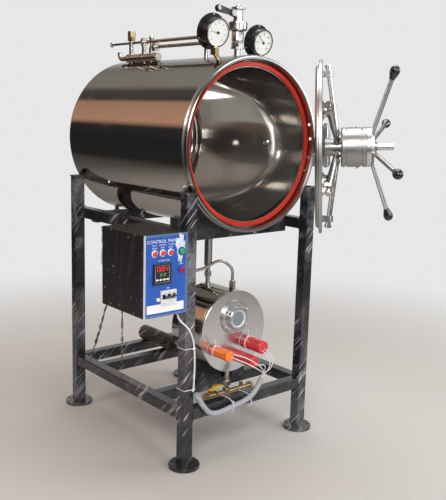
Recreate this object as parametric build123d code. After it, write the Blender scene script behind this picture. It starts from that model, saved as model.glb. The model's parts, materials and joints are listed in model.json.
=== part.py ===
"""Horizontal steam autoclave on a square-tube stand, with its own boiler and control box.

Lengths are in millimetres and +Z is up. The chamber lies along Y with its mouth facing -Y, the door
is hinged on the +X side and the control box hangs on the -X side. While the pieces are made, x = 0 is
the chamber axis, y = 0 the front of the chamber's rim and z = 0 the floor. At the end everything is
moved so that the origin is the middle of the whole object's footprint, on the floor.
"""
import os
from math import cos, hypot, radians, sin, sqrt, tan

from build123d import *

# Clearances
PIN_CLEARANCE = 0.05
SOFT_CLEARANCE = 0.3
WASHER_GAP = 1.0

# Vessel: jacket, rim and chamber share one axis
AXIS_Z = 1030.0
JACKET_R = 284.0
JACKET_WALL = 4.0
JACKET_LENGTH = 670.0
HEAD_DEPTH = 26.0
HEAD_KNUCKLE = 18.0
RIM_LENGTH = 20.0
RIM_WIDTH = 12.0
RIM_BEVEL = 4.0
RIM_EDGE = 2.0
RECESS_DEPTH = 27.0
SEAT_WIDTH = 21.0
RING_LENGTH = 50.0
GASKET_INSET = 2.5
GASKET_WIDTH = 15.5
GASKET_HEIGHT = 5.5
CHAMBER_WALL = 5.0
CHAMBER_LENGTH = 590.0
CHAMBER_DISH = 22.0

# Stand of square tube
TUBE = 38.0
TUBE_WALL = 2.0
TUBE_CORNER = 3.0
LEG_INSET = 4.0
LEG_WRAP = 5.0
STAND_FRONT = -12.0
STAND_LENGTH = 718.0
FOOT_R = 51.0
FOOT_THICK = 12.0
FOOT_BEVEL = 2.0
LOW_RAIL_TOP = 197.0
BOILER_RAIL_FRONT = 196.0
BOILER_RAIL_BACK = 550.0
SADDLE_FRONT = 122.0
SADDLE_BACK = 612.0
SADDLE_WEB = 24.0
SADDLE_WRAP = 54.0
HIGH_RAIL_STEP = 16.0

# Hinge of the door, leaning a little as the real one does
HINGE_OUT = 39.5
HINGE_FORWARD = 10.0
HINGE_LEAN = -4.15
DOOR_OPEN = 42.2
HINGE_PIN_R = 8.0
HINGE_PIN_HEAD = 6.0
HINGE_EYE_R = 14.0
HINGE_EYE_LENGTH = 58.0
KNUCKLE_LENGTH = 40.0
BRACKET_FRONT = 8.0
BRACKET_DEPTH = 38.0
BRACKET_CORNER = 5.0

# Door: a round plate that shuts inside the rim, shown part open
DOOR_GAP = 6.0
DOOR_THICK = 10.0
DOOR_SEAL_GAP = 9.0
DOOR_EDGE = 1.5
DOOR_LAND_RISE = 10.0
DOOR_LAND_INSET = 1.0
DOOR_LAND_EDGE = 6.0
STRAP_LIFT = 9.0
STRAP_THICK = 10.0
STRAP_HEIGHT = 52.0
STRAP_NOSE_R = 20.0
STRAP_NOSE_X = 140.0
STRAP_PAD_INSET = 24.0

# Lock on the door: a drum, six sliding bars in guides, and a four-spoke wheel
BAR_COUNT = 6
BAR_R = 8.0
BAR_END_INSET = 15.0
BAR_END_HEIGHT = 17.0
BAR_START_R = 42.0
BAR_START_DROP = 13.0
BAR_EDGE = 1.5
BAR_TRAVEL = 14.0
BAR_EYE_R = 11.0
BAR_EYE_THICK = 11.0
BAR_PIN_R = 4.0
BAR_PIN_LENGTH = 19.0
COLLAR_R = 10.5
COLLAR_LENGTH = 9.0
GUIDE_INSET = 43.0
GUIDE_LENGTH = 17.0
GUIDE_WALL = 5.0
GUIDE_FOOT = 9.0
GUIDE_FOOT_THICK = 4.0
PEDESTAL_R = 26.0
PEDESTAL_FLARE = 8.0
DRUM_R = 60.0
DRUM_EDGE = 3.0
DRUM_BOTTOM = 57.0
DRUM_LENGTH = 74.0
GROOVE_DEPTH = 4.0
GROOVE_WIDTH = 5.0
LOW_GROOVE = 12.0
HIGH_GROOVE = 58.0
SPINDLE_R = 11.0
SPINDLE_SEAT = 40.0
SPINDLE_LENGTH = 83.0
HUB_THICK = 22.0
HUB_CROWN = 12.0
HUB_CROWN_R = 19.0
HUB_EDGE = 9.0
SPOKE_COUNT = 4
SPOKE_PHASE = 18.0
SPOKE_R = 7.0
SPOKE_START_R = 34.0
SPOKE_START_RISE = 14.0
SPOKE_END_R = 204.0
SPOKE_END_RISE = 67.0
KNOB_R = 15.0
KNOB_LENGTH = 42.0
KNOB_NECK = 1.0

# Fittings on top of the jacket near the mouth, as heights over its top line
TOP_Y = 106.0
LEFT_GAUGE_X = -114.0
LEFT_GAUGE_RISE = 61.0
LEFT_GAUGE_R = 45.0
RIGHT_GAUGE_X = 79.0
RIGHT_GAUGE_RISE = 46.0
RIGHT_GAUGE_R = 42.0
GAUGE_DEPTH = 34.0
GAUGE_FLANGE_LIP = 11.0
GAUGE_FLANGE_THICK = 4.0
GAUGE_BEZEL = 3.5
GAUGE_DIAL_SINK = 3.0
GAUGE_BEHIND = 6.0
STEM_R = 8.0
STEM_BEND_R = 12.0
STEM_SHIFT = 30.0
STEM_NUT = 26.0
STEM_NUT_HEIGHT = 20.0
VALVE_X = 0.0
VALVE_BASE_R = 16.0
VALVE_NECK_R = 8.0
VALVE_NECK = 22.0
VALVE_FLANGE_R = 25.0
VALVE_FLANGE = 6.0
VALVE_CORE_R = 14.0
VALVE_CORE = 51.0
VALVE_COLLAR_R = 30.5
VALVE_COLLAR = 28.0
VALVE_COLLAR_BEVEL = 4.0
VALVE_STEM_R = 12.0
VALVE_STEM = 39.0
VALVE_CAP_R = 23.0
VALVE_CAP = 5.0
VALVE_DOME_R = 10.0
VALVE_ROD_COUNT = 6
VALVE_ROD_R = 3.0
VALVE_ROD_CIRCLE = 20.0
FORK_X = 24.0
FORK_DROP = 14.0
FORK_CHEEK = 5.0
FORK_R = 9.0
FORK_PIN_R = 3.5
LEVER_THICK = 8.0
LEVER_REACH = 60.0
LEVER_RISE = 9.0
LEVER_EYE_R = 11.0
LEVER_HUB_R = 8.0
LEVER_BOLT_R = 5.5
LEVER_BOLT_LENGTH = 15.0
LEVER_TILT = 20.0

# Pipework on top of the jacket near its back
CLUSTER_X = -80.0
CLUSTER_PIPE_R = 9.0
BRANCH_R = 6.0
CLUSTER_NUT = 28.0
MANIFOLD_R = 15.0
MANIFOLD_RISE = 16.0
MANIFOLD_FRONT = 440.0
MANIFOLD_BACK = 620.0
ELBOW_Y = 682.0
ELBOW_RISE = 40.0
ELBOW_BEND_R = 16.0
TEE_Y = 522.0
VENT_Y = 605.0
DOME_Y = 477.0
UPPER_PIPE_RISE = 70.0
UPPER_PIPE_FRONT = 150.0
LOWER_PIPE_RISE = 50.0
LOWER_PIPE_FRONT = 150.0
PIPE_FOOT_Y = 168.0
VENT_R = 14.0
VENT_LENGTH = 34.0
VENT_BORE_R = 8.0
VENT_BORE_DEPTH = 12.0
RELEASE_ARM_Y = 738.0
RELEASE_ARM_THICK = 6.0
RELEASE_ARM_HEIGHT = 8.0
RELEASE_EYE_R = 9.0

# Short nozzles under the jacket
NOZZLE_X = -100.0
NOZZLE_YS = (670.0, 505.0, 294.0, 240.0)
NOZZLE_R = 8.0
NOZZLE_DROP = 20.0
NOZZLE_NUT = 24.0
NOZZLE_NUT_HEIGHT = 9.0
RING_NOZZLE_X = 52.0
RING_NOZZLE_Y = 58.0

# Boiler below the chamber
BOILER_X = -18.0
BOILER_LIFT = 203.0
BOILER_R = 138.0
BOILER_WALL = 4.0
BOILER_PLATE_LIP = 3.5
BOILER_PLATE_Y = 58.0
BOILER_PLATE_THICK = 12.0
BOILER_PLATE_EDGE = 1.0
BOILER_LENGTH = 156.0
BOILER_DISH = 30.0
BAND_LENGTH = 9.0
CRADLE_WIDTH = 140.0
CRADLE_RISE = 24.0
SIGHT_RISE = 49.0
SIGHT_FLANGE_R = 58.0
SIGHT_FLANGE_THICK = 10.0
SIGHT_FLANGE_EDGE = 2.0
SIGHT_HOUSING_R = 38.0
SIGHT_HOUSING_LENGTH = 14.0
SIGHT_GLASS_R = 30.0
SIGHT_GLASS_SINK = 4.0
SIGHT_GLASS_THICK = 10.0
CAP_LENGTH = 84.0
CAP_EDGE = 5.0
RIGHT_CAP = (63.0, -48.0, 23.0)
LEFT_CAP = (-86.0, -52.0, 18.0)
LOW_CAP = (23.0, -92.0, 20.5)

# Pipes of the boiler
HEADER_X = 54.0
HEADER_R = 30.0
HEADER_EDGE = 3.0
HEADER_FRONT = 110.0
HEADER_LENGTH = 590.0
STEAM_BEHIND = 148.0
STEAM_PIPE_R = 14.0
STEAM_NECK_R = 8.0
STEAM_NECK = 62.0
STEAM_TAPER = 6.0
STEAM_UNION = 24.0
STEAM_UNION_RISE = 28.0
STEAM_UNION_HEIGHT = 18.0
STEAM_COLLAR_R = 16.0
STEAM_COLLAR = 22.0
GAUGE_TUBE_R = 5.0
GAUGE_TUBE_BEHIND = 36.0
GAUGE_TUBE_SIDE = 18.0
GAUGE_TUBE_TURNS = ((0.0, 72.0), (-52.0, 112.0), (-130.0, 86.0))
GAUGE_TUBE_BENDS = (34.0, 60.0, 80.0)
GAUGE_TUBE_RISE = 74.0
GAUGE_NUT = 20.0
GAUGE_NUT_HEIGHT = 30.0
DRAIN_SIDE = 4.0
DRAIN_BEHIND = 26.0
DRAIN_R = 8.5
DRAIN_UNION = 26.0
DRAIN_UNION_HEIGHT = 16.0
DRAIN_UNION_RISE = 14.0
TEE_R = 13.0
DRAIN_VALVE_DROP = 22.0
VALVE_BODY_R = 14.0
VALVE_BODY_HALF = 24.0
VALVE_END_HEX = 27.0
VALVE_END_LENGTH = 12.0
VALVE_AWAY = 72.0
HANDLE_PIN_R = 4.0
HANDLE_PIN_SEAT = 10.0
HANDLE_BOSS_R = 7.0
HANDLE_BOSS_RISE = 21.0
HANDLE_REACH = 50.0
HANDLE_WIDTH = 14.0
HANDLE_THICK = 3.0
HANDLE_STEP = 7.0
COCK_AWAY = 116.0
COCK_R = 9.0

# Control box on the left of the stand
BOX_WIDTH = 160.0
BOX_DEPTH = 230.0
BOX_HEIGHT = 250.0
BOX_FORWARD = 3.0
BOX_BELOW_RAIL = 1.0
BOX_WALL = 2.0
BOX_CORNER = 2.5
PANEL_MARGIN = 7.0
PANEL_LIP = 6.0
PANEL_THICK = 2.0
CONTROLLER_SIZE = 64.0
CONTROLLER_SIDE = 64.0
CONTROLLER_RISE = 132.0
CONTROLLER_STAND = 7.0
CONTROLLER_FRAME = 5.0
CONTROLLER_SINK = 2.0
BREAKER_SIDE = 88.0
BREAKER_RISE = 58.0
BREAKER_WIDTH = 56.0
BREAKER_HEIGHT = 44.0
BREAKER_STAND = 7.0
TOGGLE_ROOT_R = 4.0
TOGGLE_WIDTH = 38.0
TOGGLE_LENGTH = 11.0
TOGGLE_THICK = 5.0
TOGGLE_UP = 25.0
BUTTON_SIDE = 136.0
START_RISE = 194.0
STOP_RISE = 137.0
BUTTON_R = 9.0
BUTTON_STAND = 9.0
BUTTON_DEPTH = 3.0
BUTTON_TRAVEL = 4.0
BUTTON_COLLAR_R = 13.0
BUTTON_COLLAR = 3.0
LAMP_SIDES = (38.0, 67.0, 96.0)
LAMP_R = 8.5
LAMP_STAND = 7.0
FUSE_SIDE = 51.0
FUSE_RISE = 54.0
FUSE_R = 6.0

# Heater leads and their sleeve
SLEEVE_R = 9.0
LEAD_R = 1.7
LEAD_STRAIGHT = 12.0
LEAD_SPREAD = 4.0
LEADS = (
    (50.0, 346.0, [(62.0, -58.0, 318.0), (60.0, -52.0, 282.0)]),
    (38.0, 342.0, [(48.0, -60.0, 312.0), (52.0, -48.0, 280.0)]),
    (-94.0, 356.0, [(-62.0, -56.0, 346.0), (-8.0, -60.0, 312.0), (34.0, -46.0, 276.0)]),
    (-100.0, 346.0, [(-66.0, -64.0, 330.0), (-14.0, -70.0, 298.0), (28.0, -50.0, 272.0)]),
    (8.0, 300.0, [(26.0, -52.0, 304.0), (46.0, -40.0, 282.0)]),
)
RISER_R = 3.0

# Sizes that follow from the ones above
RIM_INNER_R = JACKET_R - JACKET_WALL - RIM_WIDTH
CHAMBER_R = RIM_INNER_R - SEAT_WIDTH
JACKET_BACK = RIM_LENGTH + JACKET_LENGTH
CHAMBER_BACK = RING_LENGTH + CHAMBER_LENGTH
CROWN_Z = AXIS_Z + JACKET_R
KEEL_Z = AXIS_Z - JACKET_R
STAND_HALF = JACKET_R - LEG_INSET
RAIL_INNER = STAND_HALF - TUBE
STAND_BACK = STAND_FRONT + STAND_LENGTH
SADDLE_BOTTOM = KEEL_Z - SADDLE_WEB
HIGH_RAIL_TOP = SADDLE_BOTTOM + HIGH_RAIL_STEP + TUBE
DOOR_R = RIM_INNER_R - DOOR_GAP
DOOR_FACE_Y = RECESS_DEPTH - GASKET_HEIGHT - DOOR_SEAL_GAP - DOOR_THICK
HINGE_X = JACKET_R + HINGE_OUT
HINGE_Y = -HINGE_FORWARD
BAR_START = (BAR_START_R, DRUM_BOTTOM - BAR_START_DROP)
BAR_END = (DOOR_R - BAR_END_INSET, BAR_END_HEIGHT)
GUIDE_R = DOOR_R - GUIDE_INSET
DRUM_TOP = DRUM_BOTTOM + DRUM_LENGTH
HUB_BOTTOM = DRUM_TOP + WASHER_GAP
SPOKE_START = (SPOKE_START_R, HUB_BOTTOM + SPOKE_START_RISE)
SPOKE_END = (SPOKE_END_R, HUB_BOTTOM + SPOKE_END_RISE)
BOILER_Z = LOW_RAIL_TOP + BOILER_LIFT
BOILER_SHELL_Y = BOILER_PLATE_Y + BOILER_PLATE_THICK
BOILER_BACK = BOILER_SHELL_Y + BOILER_LENGTH
BOILER_TOP = BOILER_Z + BOILER_R
BOX_RIGHT = -STAND_HALF
BOX_LEFT = BOX_RIGHT - BOX_WIDTH
BOX_FRONT = STAND_FRONT - BOX_FORWARD
BOX_TOP = HIGH_RAIL_TOP - BOX_BELOW_RAIL
BOX_BOTTOM = BOX_TOP - BOX_HEIGHT
DRAIN_X = BOILER_X - DRAIN_SIDE
DRAIN_Y = BOILER_PLATE_Y + DRAIN_BEHIND
DRAIN_VALVE_Z = LOW_RAIL_TOP - DRAIN_VALVE_DROP
BALL_VALVE_X = DRAIN_X - VALVE_AWAY
VENT_RISE = UPPER_PIPE_RISE + RELEASE_ARM_HEIGHT

PARTS = {}


def keep(name, shape):
    """Put a finished piece on the list of nodes."""
    PARTS[name] = shape


def block(xs, ys, zs):
    """A box from its low and high faces along x, y and z."""
    size = [high - low for low, high in (xs, ys, zs)]
    middle = [(high + low) / 2 for low, high in (xs, ys, zs)]
    return Pos(*middle) * Box(*size)


def rod_x(radius, x_from, x_to, y, z):
    """A round bar along x."""
    return Pos((x_from + x_to) / 2, y, z) * Rot(0, 90, 0) * Cylinder(radius, x_to - x_from)


def rod_y(radius, y_from, y_to, x, z):
    """A round bar along y."""
    return Pos(x, (y_from + y_to) / 2, z) * Rot(90, 0, 0) * Cylinder(radius, y_to - y_from)


def rod_z(radius, z_from, z_to, x, y):
    """A round bar along z."""
    return Pos(x, y, (z_from + z_to) / 2) * Cylinder(radius, z_to - z_from)


def rod_between(start, end, radius):
    """A round bar from one point to another."""
    path = Line(start, end)
    return sweep(Plane(start, z_dir=path % 0) * Circle(radius), path)


def turned(profile):
    """A closed (radius, z) outline turned about the z axis."""
    return revolve(Plane.XZ * make_face(Polyline(*profile, close=True)), Axis.Z)


def turned_y(profile, x, z):
    """A closed (radius, y) outline turned about the line along y through x and z."""
    return Pos(x, 0, z) * Rot(-90, 0, 0) * turned(profile)


def turned_z(profile, x, y):
    """A closed (radius, z) outline turned about the upright line through x and y."""
    return Pos(x, y, 0) * turned(profile)


def stacked(steps, bottom):
    """A (radius, z) outline of round steps, each a radius and a height, from the bottom up."""
    profile = [(0, bottom)]
    level = bottom
    for radius, height in steps:
        profile += [(radius, level), (radius, level + height)]
        level += height
    return profile + [(0, level)]


def bent_pipe(points, radii, radius):
    """A round pipe along straight runs joined by tangent arcs."""
    path = FilletPolyline(*points, radius=radii)
    return sweep(Plane(points[0], z_dir=path % 0) * Circle(radius), path)


def hexagon(across_flats, height):
    """A hexagonal nut standing on z = 0."""
    return extrude(RegularPolygon(across_flats / sqrt(3), 6), height)


def nut_z(across_flats, z_from, height, x, y):
    """An upright hexagonal nut."""
    return Pos(x, y, z_from) * hexagon(across_flats, height)


def nut_y(across_flats, y_from, height, x, z):
    """A hexagonal nut lying along y."""
    return Pos(x, y_from, z) * Rot(-90, 0, 0) * hexagon(across_flats, height)


def nut_x(across_flats, x_from, height, y, z):
    """A hexagonal nut lying along x."""
    return Pos(x_from, y, z) * Rot(0, 90, 0) * hexagon(across_flats, height)


def dished_cap(radius, depth):
    """A shallow spherical cap on the flat z = 0, bulging to +z."""
    sphere_r = (radius ** 2 + depth ** 2) / (2 * depth)
    ball = Pos(0, 0, depth - sphere_r) * Sphere(sphere_r)
    return ball & Pos(0, 0, depth / 2) * Cylinder(radius, depth)


def square_tube(length):
    """Square tube with rounded corners, standing on z = 0."""
    inner = TUBE - 2 * TUBE_WALL
    section = RectangleRounded(TUBE, TUBE, TUBE_CORNER) - Rectangle(inner, inner)
    return extrude(section, length)


def tube_x(x_from, x_to, y, top):
    """Square tube along x with its top face at a height."""
    return Pos(x_from, y, top - TUBE / 2) * Rot(0, 90, 0) * square_tube(x_to - x_from)


def tube_y(y_from, y_to, x, top):
    """Square tube along y with its top face at a height."""
    return Pos(x, y_from, top - TUBE / 2) * Rot(-90, 0, 0) * square_tube(y_to - y_from)


def head_body():
    """The solid outer form of the rear head, with its rounded knuckle."""
    body = rod_y(JACKET_R, JACKET_BACK, JACKET_BACK + HEAD_DEPTH, 0, AXIS_Z)
    return fillet(body.edges().group_by(Axis.Y)[-1], HEAD_KNUCKLE)


def jacket_body():
    """The solid outer form of the ring, jacket and head, used to fit other pieces to them."""
    ring = rod_y(JACKET_R - JACKET_WALL, 0, RIM_LENGTH, 0, AXIS_Z)
    return ring + rod_y(JACKET_R, RIM_LENGTH, JACKET_BACK, 0, AXIS_Z) + head_body()


def jacket_height(x):
    """How far the jacket's surface lies above or below its axis at a distance to the side."""
    return sqrt(JACKET_R ** 2 - x ** 2)


def leg_places():
    """Name and centre of each leg."""
    x_side = STAND_HALF - TUBE / 2
    y_front = STAND_FRONT + TUBE / 2
    y_back = STAND_BACK - TUBE / 2
    return {
        "leg_front_left": (-x_side, y_front),
        "leg_front_right": (x_side, y_front),
        "leg_rear_left": (-x_side, y_back),
        "leg_rear_right": (x_side, y_back),
    }


def leg(x, y):
    """Square tube on a round foot, its top shaped to the jacket."""
    top = AXIS_Z - jacket_height(RAIL_INNER) + LEG_WRAP
    post = Pos(x, y, FOOT_THICK) * square_tube(top - FOOT_THICK)
    foot = rod_z(FOOT_R, 0, FOOT_THICK, x, y)
    foot = chamfer(foot.edges().group_by(Axis.Z)[-1], FOOT_BEVEL)
    return post + foot - jacket_body()


def side_rails():
    """The lower and upper rails along y between the front and back legs."""
    ends = (STAND_FRONT + TUBE, STAND_BACK - TUBE)
    middle = STAND_HALF - TUBE / 2
    tops = (LOW_RAIL_TOP, HIGH_RAIL_TOP)
    return Compound([tube_y(*ends, x, top) for x in (-middle, middle) for top in tops])


def cross_rails():
    """Front and back rails between the legs, and the two that carry the boiler."""
    middles = (
        STAND_FRONT + TUBE / 2,
        STAND_FRONT + BOILER_RAIL_FRONT,
        STAND_FRONT + BOILER_RAIL_BACK,
        STAND_BACK - TUBE / 2,
    )
    return Compound([tube_x(-RAIL_INNER, RAIL_INNER, y, LOW_RAIL_TOP) for y in middles])


def jacket_saddle(y):
    """Cross member under the jacket with its top shaped to it."""
    ys = (y - TUBE / 2, y + TUBE / 2)
    return block((-RAIL_INNER, RAIL_INNER), ys, (SADDLE_BOTTOM, KEEL_Z + SADDLE_WRAP)) - jacket_body()


def boiler_body():
    """The solid outer form of the boiler, used to fit other pieces to it."""
    band_r = BOILER_R + BOILER_PLATE_LIP
    band = rod_y(band_r, BOILER_PLATE_Y, BOILER_SHELL_Y + BAND_LENGTH, BOILER_X, BOILER_Z)
    return rod_y(BOILER_R, BOILER_PLATE_Y, BOILER_BACK, BOILER_X, BOILER_Z) + band


def boiler_cradle():
    """Short saddle that stands on the front boiler rail and holds the boiler."""
    y = STAND_FRONT + BOILER_RAIL_FRONT
    body = block(
        (BOILER_X - CRADLE_WIDTH / 2, BOILER_X + CRADLE_WIDTH / 2),
        (y - TUBE / 2, y + TUBE / 2),
        (LOW_RAIL_TOP, BOILER_Z - BOILER_R + CRADLE_RISE),
    )
    return body - boiler_body() - drain_header()


def saddles():
    """The two saddles of the jacket and the one of the boiler."""
    pair = [jacket_saddle(STAND_FRONT + offset) for offset in (SADDLE_FRONT, SADDLE_BACK)]
    return Compound(pair + [boiler_cradle()])


def jacket():
    """Polished outer shell."""
    outer = rod_y(JACKET_R, RIM_LENGTH, JACKET_BACK, 0, AXIS_Z)
    return outer - rod_y(JACKET_R - JACKET_WALL, RIM_LENGTH, JACKET_BACK, 0, AXIS_Z)


def rear_head():
    """Pressed end that closes the back of the jacket, with a rounded knuckle."""
    inner_r = JACKET_R - JACKET_WALL
    hollow = rod_y(inner_r, JACKET_BACK, JACKET_BACK + HEAD_DEPTH - JACKET_WALL, 0, AXIS_Z)
    hollow = fillet(hollow.edges().group_by(Axis.Y)[-1], HEAD_KNUCKLE - JACKET_WALL)
    return head_body() - hollow


def door_ring():
    """Thick front ring with a bevelled rim, a recess for the door and the seat of the gasket."""
    outer_r = JACKET_R - JACKET_WALL
    profile = [
        (CHAMBER_R, RING_LENGTH),
        (CHAMBER_R, RECESS_DEPTH),
        (RIM_INNER_R, RECESS_DEPTH),
        (RIM_INNER_R, RIM_BEVEL),
        (RIM_INNER_R + RIM_BEVEL, 0),
        (outer_r - RIM_EDGE, 0),
        (outer_r, RIM_EDGE),
        (outer_r, RING_LENGTH),
    ]
    return turned_y(profile, 0, AXIS_Z)


def gasket():
    """Red rubber seal on the floor of the recess, rounded towards the door."""
    inner_r = CHAMBER_R + GASKET_INSET
    ys = (RECESS_DEPTH - GASKET_HEIGHT, RECESS_DEPTH)
    body = rod_y(inner_r + GASKET_WIDTH, *ys, 0, AXIS_Z) - rod_y(inner_r, *ys, 0, AXIS_Z)
    return fillet(body.edges().group_by(Axis.Y)[0], GASKET_HEIGHT / 2)


def chamber_shell():
    """Inner pressure chamber behind the ring."""
    outer = rod_y(CHAMBER_R + CHAMBER_WALL, RING_LENGTH, CHAMBER_BACK, 0, AXIS_Z)
    return outer - rod_y(CHAMBER_R, RING_LENGTH, CHAMBER_BACK, 0, AXIS_Z)


def chamber_back():
    """Dished end of the inner chamber, bulging to the back."""
    outer_r = CHAMBER_R + CHAMBER_WALL
    flange = Pos(0, 0, -CHAMBER_WALL / 2) * Cylinder(outer_r, CHAMBER_WALL)
    hollow = Pos(0, 0, -CHAMBER_WALL) * dished_cap(CHAMBER_R, CHAMBER_DISH)
    dish = dished_cap(outer_r, CHAMBER_DISH) + flange - hollow
    return Pos(0, CHAMBER_BACK + CHAMBER_WALL, AXIS_Z) * Rot(-90, 0, 0) * dish


def hinge_axis():
    """The line that the door turns about."""
    lean = radians(HINGE_LEAN)
    return Axis((HINGE_X, HINGE_Y, AXIS_Z), (sin(lean), 0, cos(lean)))


def on_hinge(shape):
    """Put a shape made about the z axis on the hinge line, its y still along y."""
    return Pos(HINGE_X, HINGE_Y, AXIS_Z) * Rot(0, HINGE_LEAN, 0) * shape


def hinge_rod(radius, low, high):
    """A round piece on the hinge line between two heights along it."""
    return on_hinge(Pos(0, 0, (low + high) / 2) * Cylinder(radius, high - low))


def knuckle(low, high):
    """One knuckle of the bracket, drawn out to its root on the ring."""
    eye = Circle(HINGE_EYE_R)
    root_x = -HINGE_OUT - JACKET_WALL
    root_y = BRACKET_FRONT - HINGE_Y + BRACKET_DEPTH / 2
    root = Pos(root_x, root_y) * Rectangle(2 * HINGE_EYE_R, BRACKET_DEPTH - 2 * BRACKET_CORNER)
    outline = make_hull(eye.edges() + root.edges())
    return on_hinge(Pos(0, 0, low) * extrude(outline, high - low))


def hinge_bracket():
    """Two knuckles and their pin, on a plate welded to the side of the ring."""
    low = HINGE_EYE_LENGTH / 2 + WASHER_GAP
    high = low + KNUCKLE_LENGTH
    plate = block(
        (JACKET_R - HINGE_OUT / 2, HINGE_X - JACKET_WALL),
        (BRACKET_FRONT, BRACKET_FRONT + BRACKET_DEPTH),
        (AXIS_Z - high, AXIS_Z + high),
    )
    plate = fillet(plate.edges().filter_by(Axis.Z).group_by(Axis.X)[-1], BRACKET_CORNER)
    pin = hinge_rod(HINGE_PIN_R, -high - HINGE_PIN_HEAD, high + HINGE_PIN_HEAD)
    return plate + knuckle(low, high) + knuckle(-high, -low) + pin - jacket_body()


def door_point(radius, height, angle):
    """A point over the shut door: distance from its centre, height off its face, angle from the top."""
    turn = radians(angle)
    return (radius * sin(turn), DOOR_FACE_Y - height, AXIS_Z + radius * cos(turn))


def opened(shape):
    """Turn a piece of the door from shut to the part-open place."""
    return shape.rotate(hinge_axis(), DOOR_OPEN)


def on_door(profile):
    """A closed (radius, height) outline turned about the middle of the shut door."""
    return turned_y([(radius, DOOR_FACE_Y - height) for radius, height in profile], 0, AXIS_Z)


def over_door(shape, angle):
    """Put a shape drawn with x across, y outwards and z off the face at an angle on the shut door."""
    upright = Pos(0, DOOR_FACE_Y, AXIS_Z) * Rot(90, 0, 0) * shape
    return upright.rotate(Axis((0, 0, AXIS_Z), (0, 1, 0)), angle)


def bar_angles():
    """Angle of each locking bar from the top."""
    return [360.0 / BAR_COUNT * index for index in range(BAR_COUNT)]


def bar_slope():
    """Rise of a bar's centre line for each millimetre outwards."""
    return (BAR_END[1] - BAR_START[1]) / (BAR_END[0] - BAR_START[0])


def bar_height(radius):
    """Height of a bar's centre line off the door at a distance from the door's centre."""
    return BAR_START[1] + bar_slope() * (radius - BAR_START[0])


def bar_line(start_r, end_r, angle, radius):
    """A round bar along a bar's centre line between two distances from the door's centre."""
    start = door_point(start_r, bar_height(start_r), angle)
    end = door_point(end_r, bar_height(end_r), angle)
    return rod_between(start, end, radius)


def hinge_strap():
    """Flat strap that tapers from the hinge eye to a round nose on the door."""
    eye_end = Pos(HINGE_X - HINGE_EYE_R, 0) * Rectangle(HINGE_EYE_R, STRAP_HEIGHT)
    nose = Pos(STRAP_NOSE_X, 0) * Circle(STRAP_NOSE_R)
    outline = make_hull(eye_end.edges() + nose.edges())
    back = DOOR_FACE_Y - STRAP_LIFT
    strap = Pos(0, back, AXIS_Z) * Rot(90, 0, 0) * extrude(outline, STRAP_THICK)
    pad = Pos(0, DOOR_FACE_Y, AXIS_Z) * Rot(90, 0, 0) * extrude(outline, STRAP_LIFT)
    return strap + (pad & rod_y(DOOR_R - STRAP_PAD_INSET, back, DOOR_FACE_Y, 0, AXIS_Z))


def door_plate():
    """Round door plate with a raised land on its inner side, and its hinge strap and eye."""
    land_r = CHAMBER_R - DOOR_LAND_INSET
    land = -DOOR_THICK - DOOR_LAND_RISE
    plate = on_door([
        (0, 0),
        (DOOR_R - DOOR_EDGE, 0),
        (DOOR_R, -DOOR_EDGE),
        (DOOR_R, DOOR_EDGE - DOOR_THICK),
        (DOOR_R - DOOR_EDGE, -DOOR_THICK),
        (land_r, -DOOR_THICK),
        (land_r, land + DOOR_LAND_EDGE),
        (land_r - DOOR_LAND_EDGE, land),
        (0, land),
    ])
    half = HINGE_EYE_LENGTH / 2
    eye = hinge_rod(HINGE_EYE_R, -half, half)
    bore = hinge_rod(HINGE_PIN_R + PIN_CLEARANCE, -half, half)
    return opened(plate + hinge_strap() + eye - bore)


def guide(angle):
    """U-shaped guide with two feet that holds a bar down on the door."""
    outer_r = BAR_R + GUIDE_WALL
    rise = bar_height(GUIDE_R)
    arch = Pos(0, rise) * Circle(outer_r) + Pos(0, rise / 2) * Rectangle(2 * outer_r, rise)
    foot = Rectangle(2 * (outer_r + GUIDE_FOOT), 2 * GUIDE_FOOT_THICK)
    opening = Rectangle(2 * (BAR_R + PIN_CLEARANCE), 2 * rise)
    outline = arch + foot - opening - Pos(0, -rise) * Rectangle(4 * outer_r, 2 * rise)
    body = Pos(0, GUIDE_R + GUIDE_LENGTH / 2, 0) * Rot(90, 0, 0) * extrude(outline, GUIDE_LENGTH)
    reach = GUIDE_LENGTH
    way = bar_line(GUIDE_R - reach, GUIDE_R + reach, angle, BAR_R + PIN_CLEARANCE)
    return over_door(body, angle) - way


def bar_guides():
    """The guides of all bars."""
    return opened(Compound([guide(angle) for angle in bar_angles()]))


def lock_bar(angle):
    """Sliding bar with a collar near its outer end and an eye with a cross pin at its inner end."""
    bar = chamfer(bar_line(BAR_START[0], BAR_END[0], angle, BAR_R).edges(), BAR_EDGE)
    collar = bar_line(BAR_END[0] - COLLAR_LENGTH, BAR_END[0] - BAR_EDGE, angle, COLLAR_R)
    middle = Pos(0, BAR_START[0], BAR_START[1]) * Rot(0, 90, 0)
    eye = middle * Cylinder(BAR_EYE_R, BAR_EYE_THICK)
    pin = middle * Cylinder(BAR_PIN_R, BAR_PIN_LENGTH)
    return opened(bar + collar + over_door(eye + pin, angle))


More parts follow.
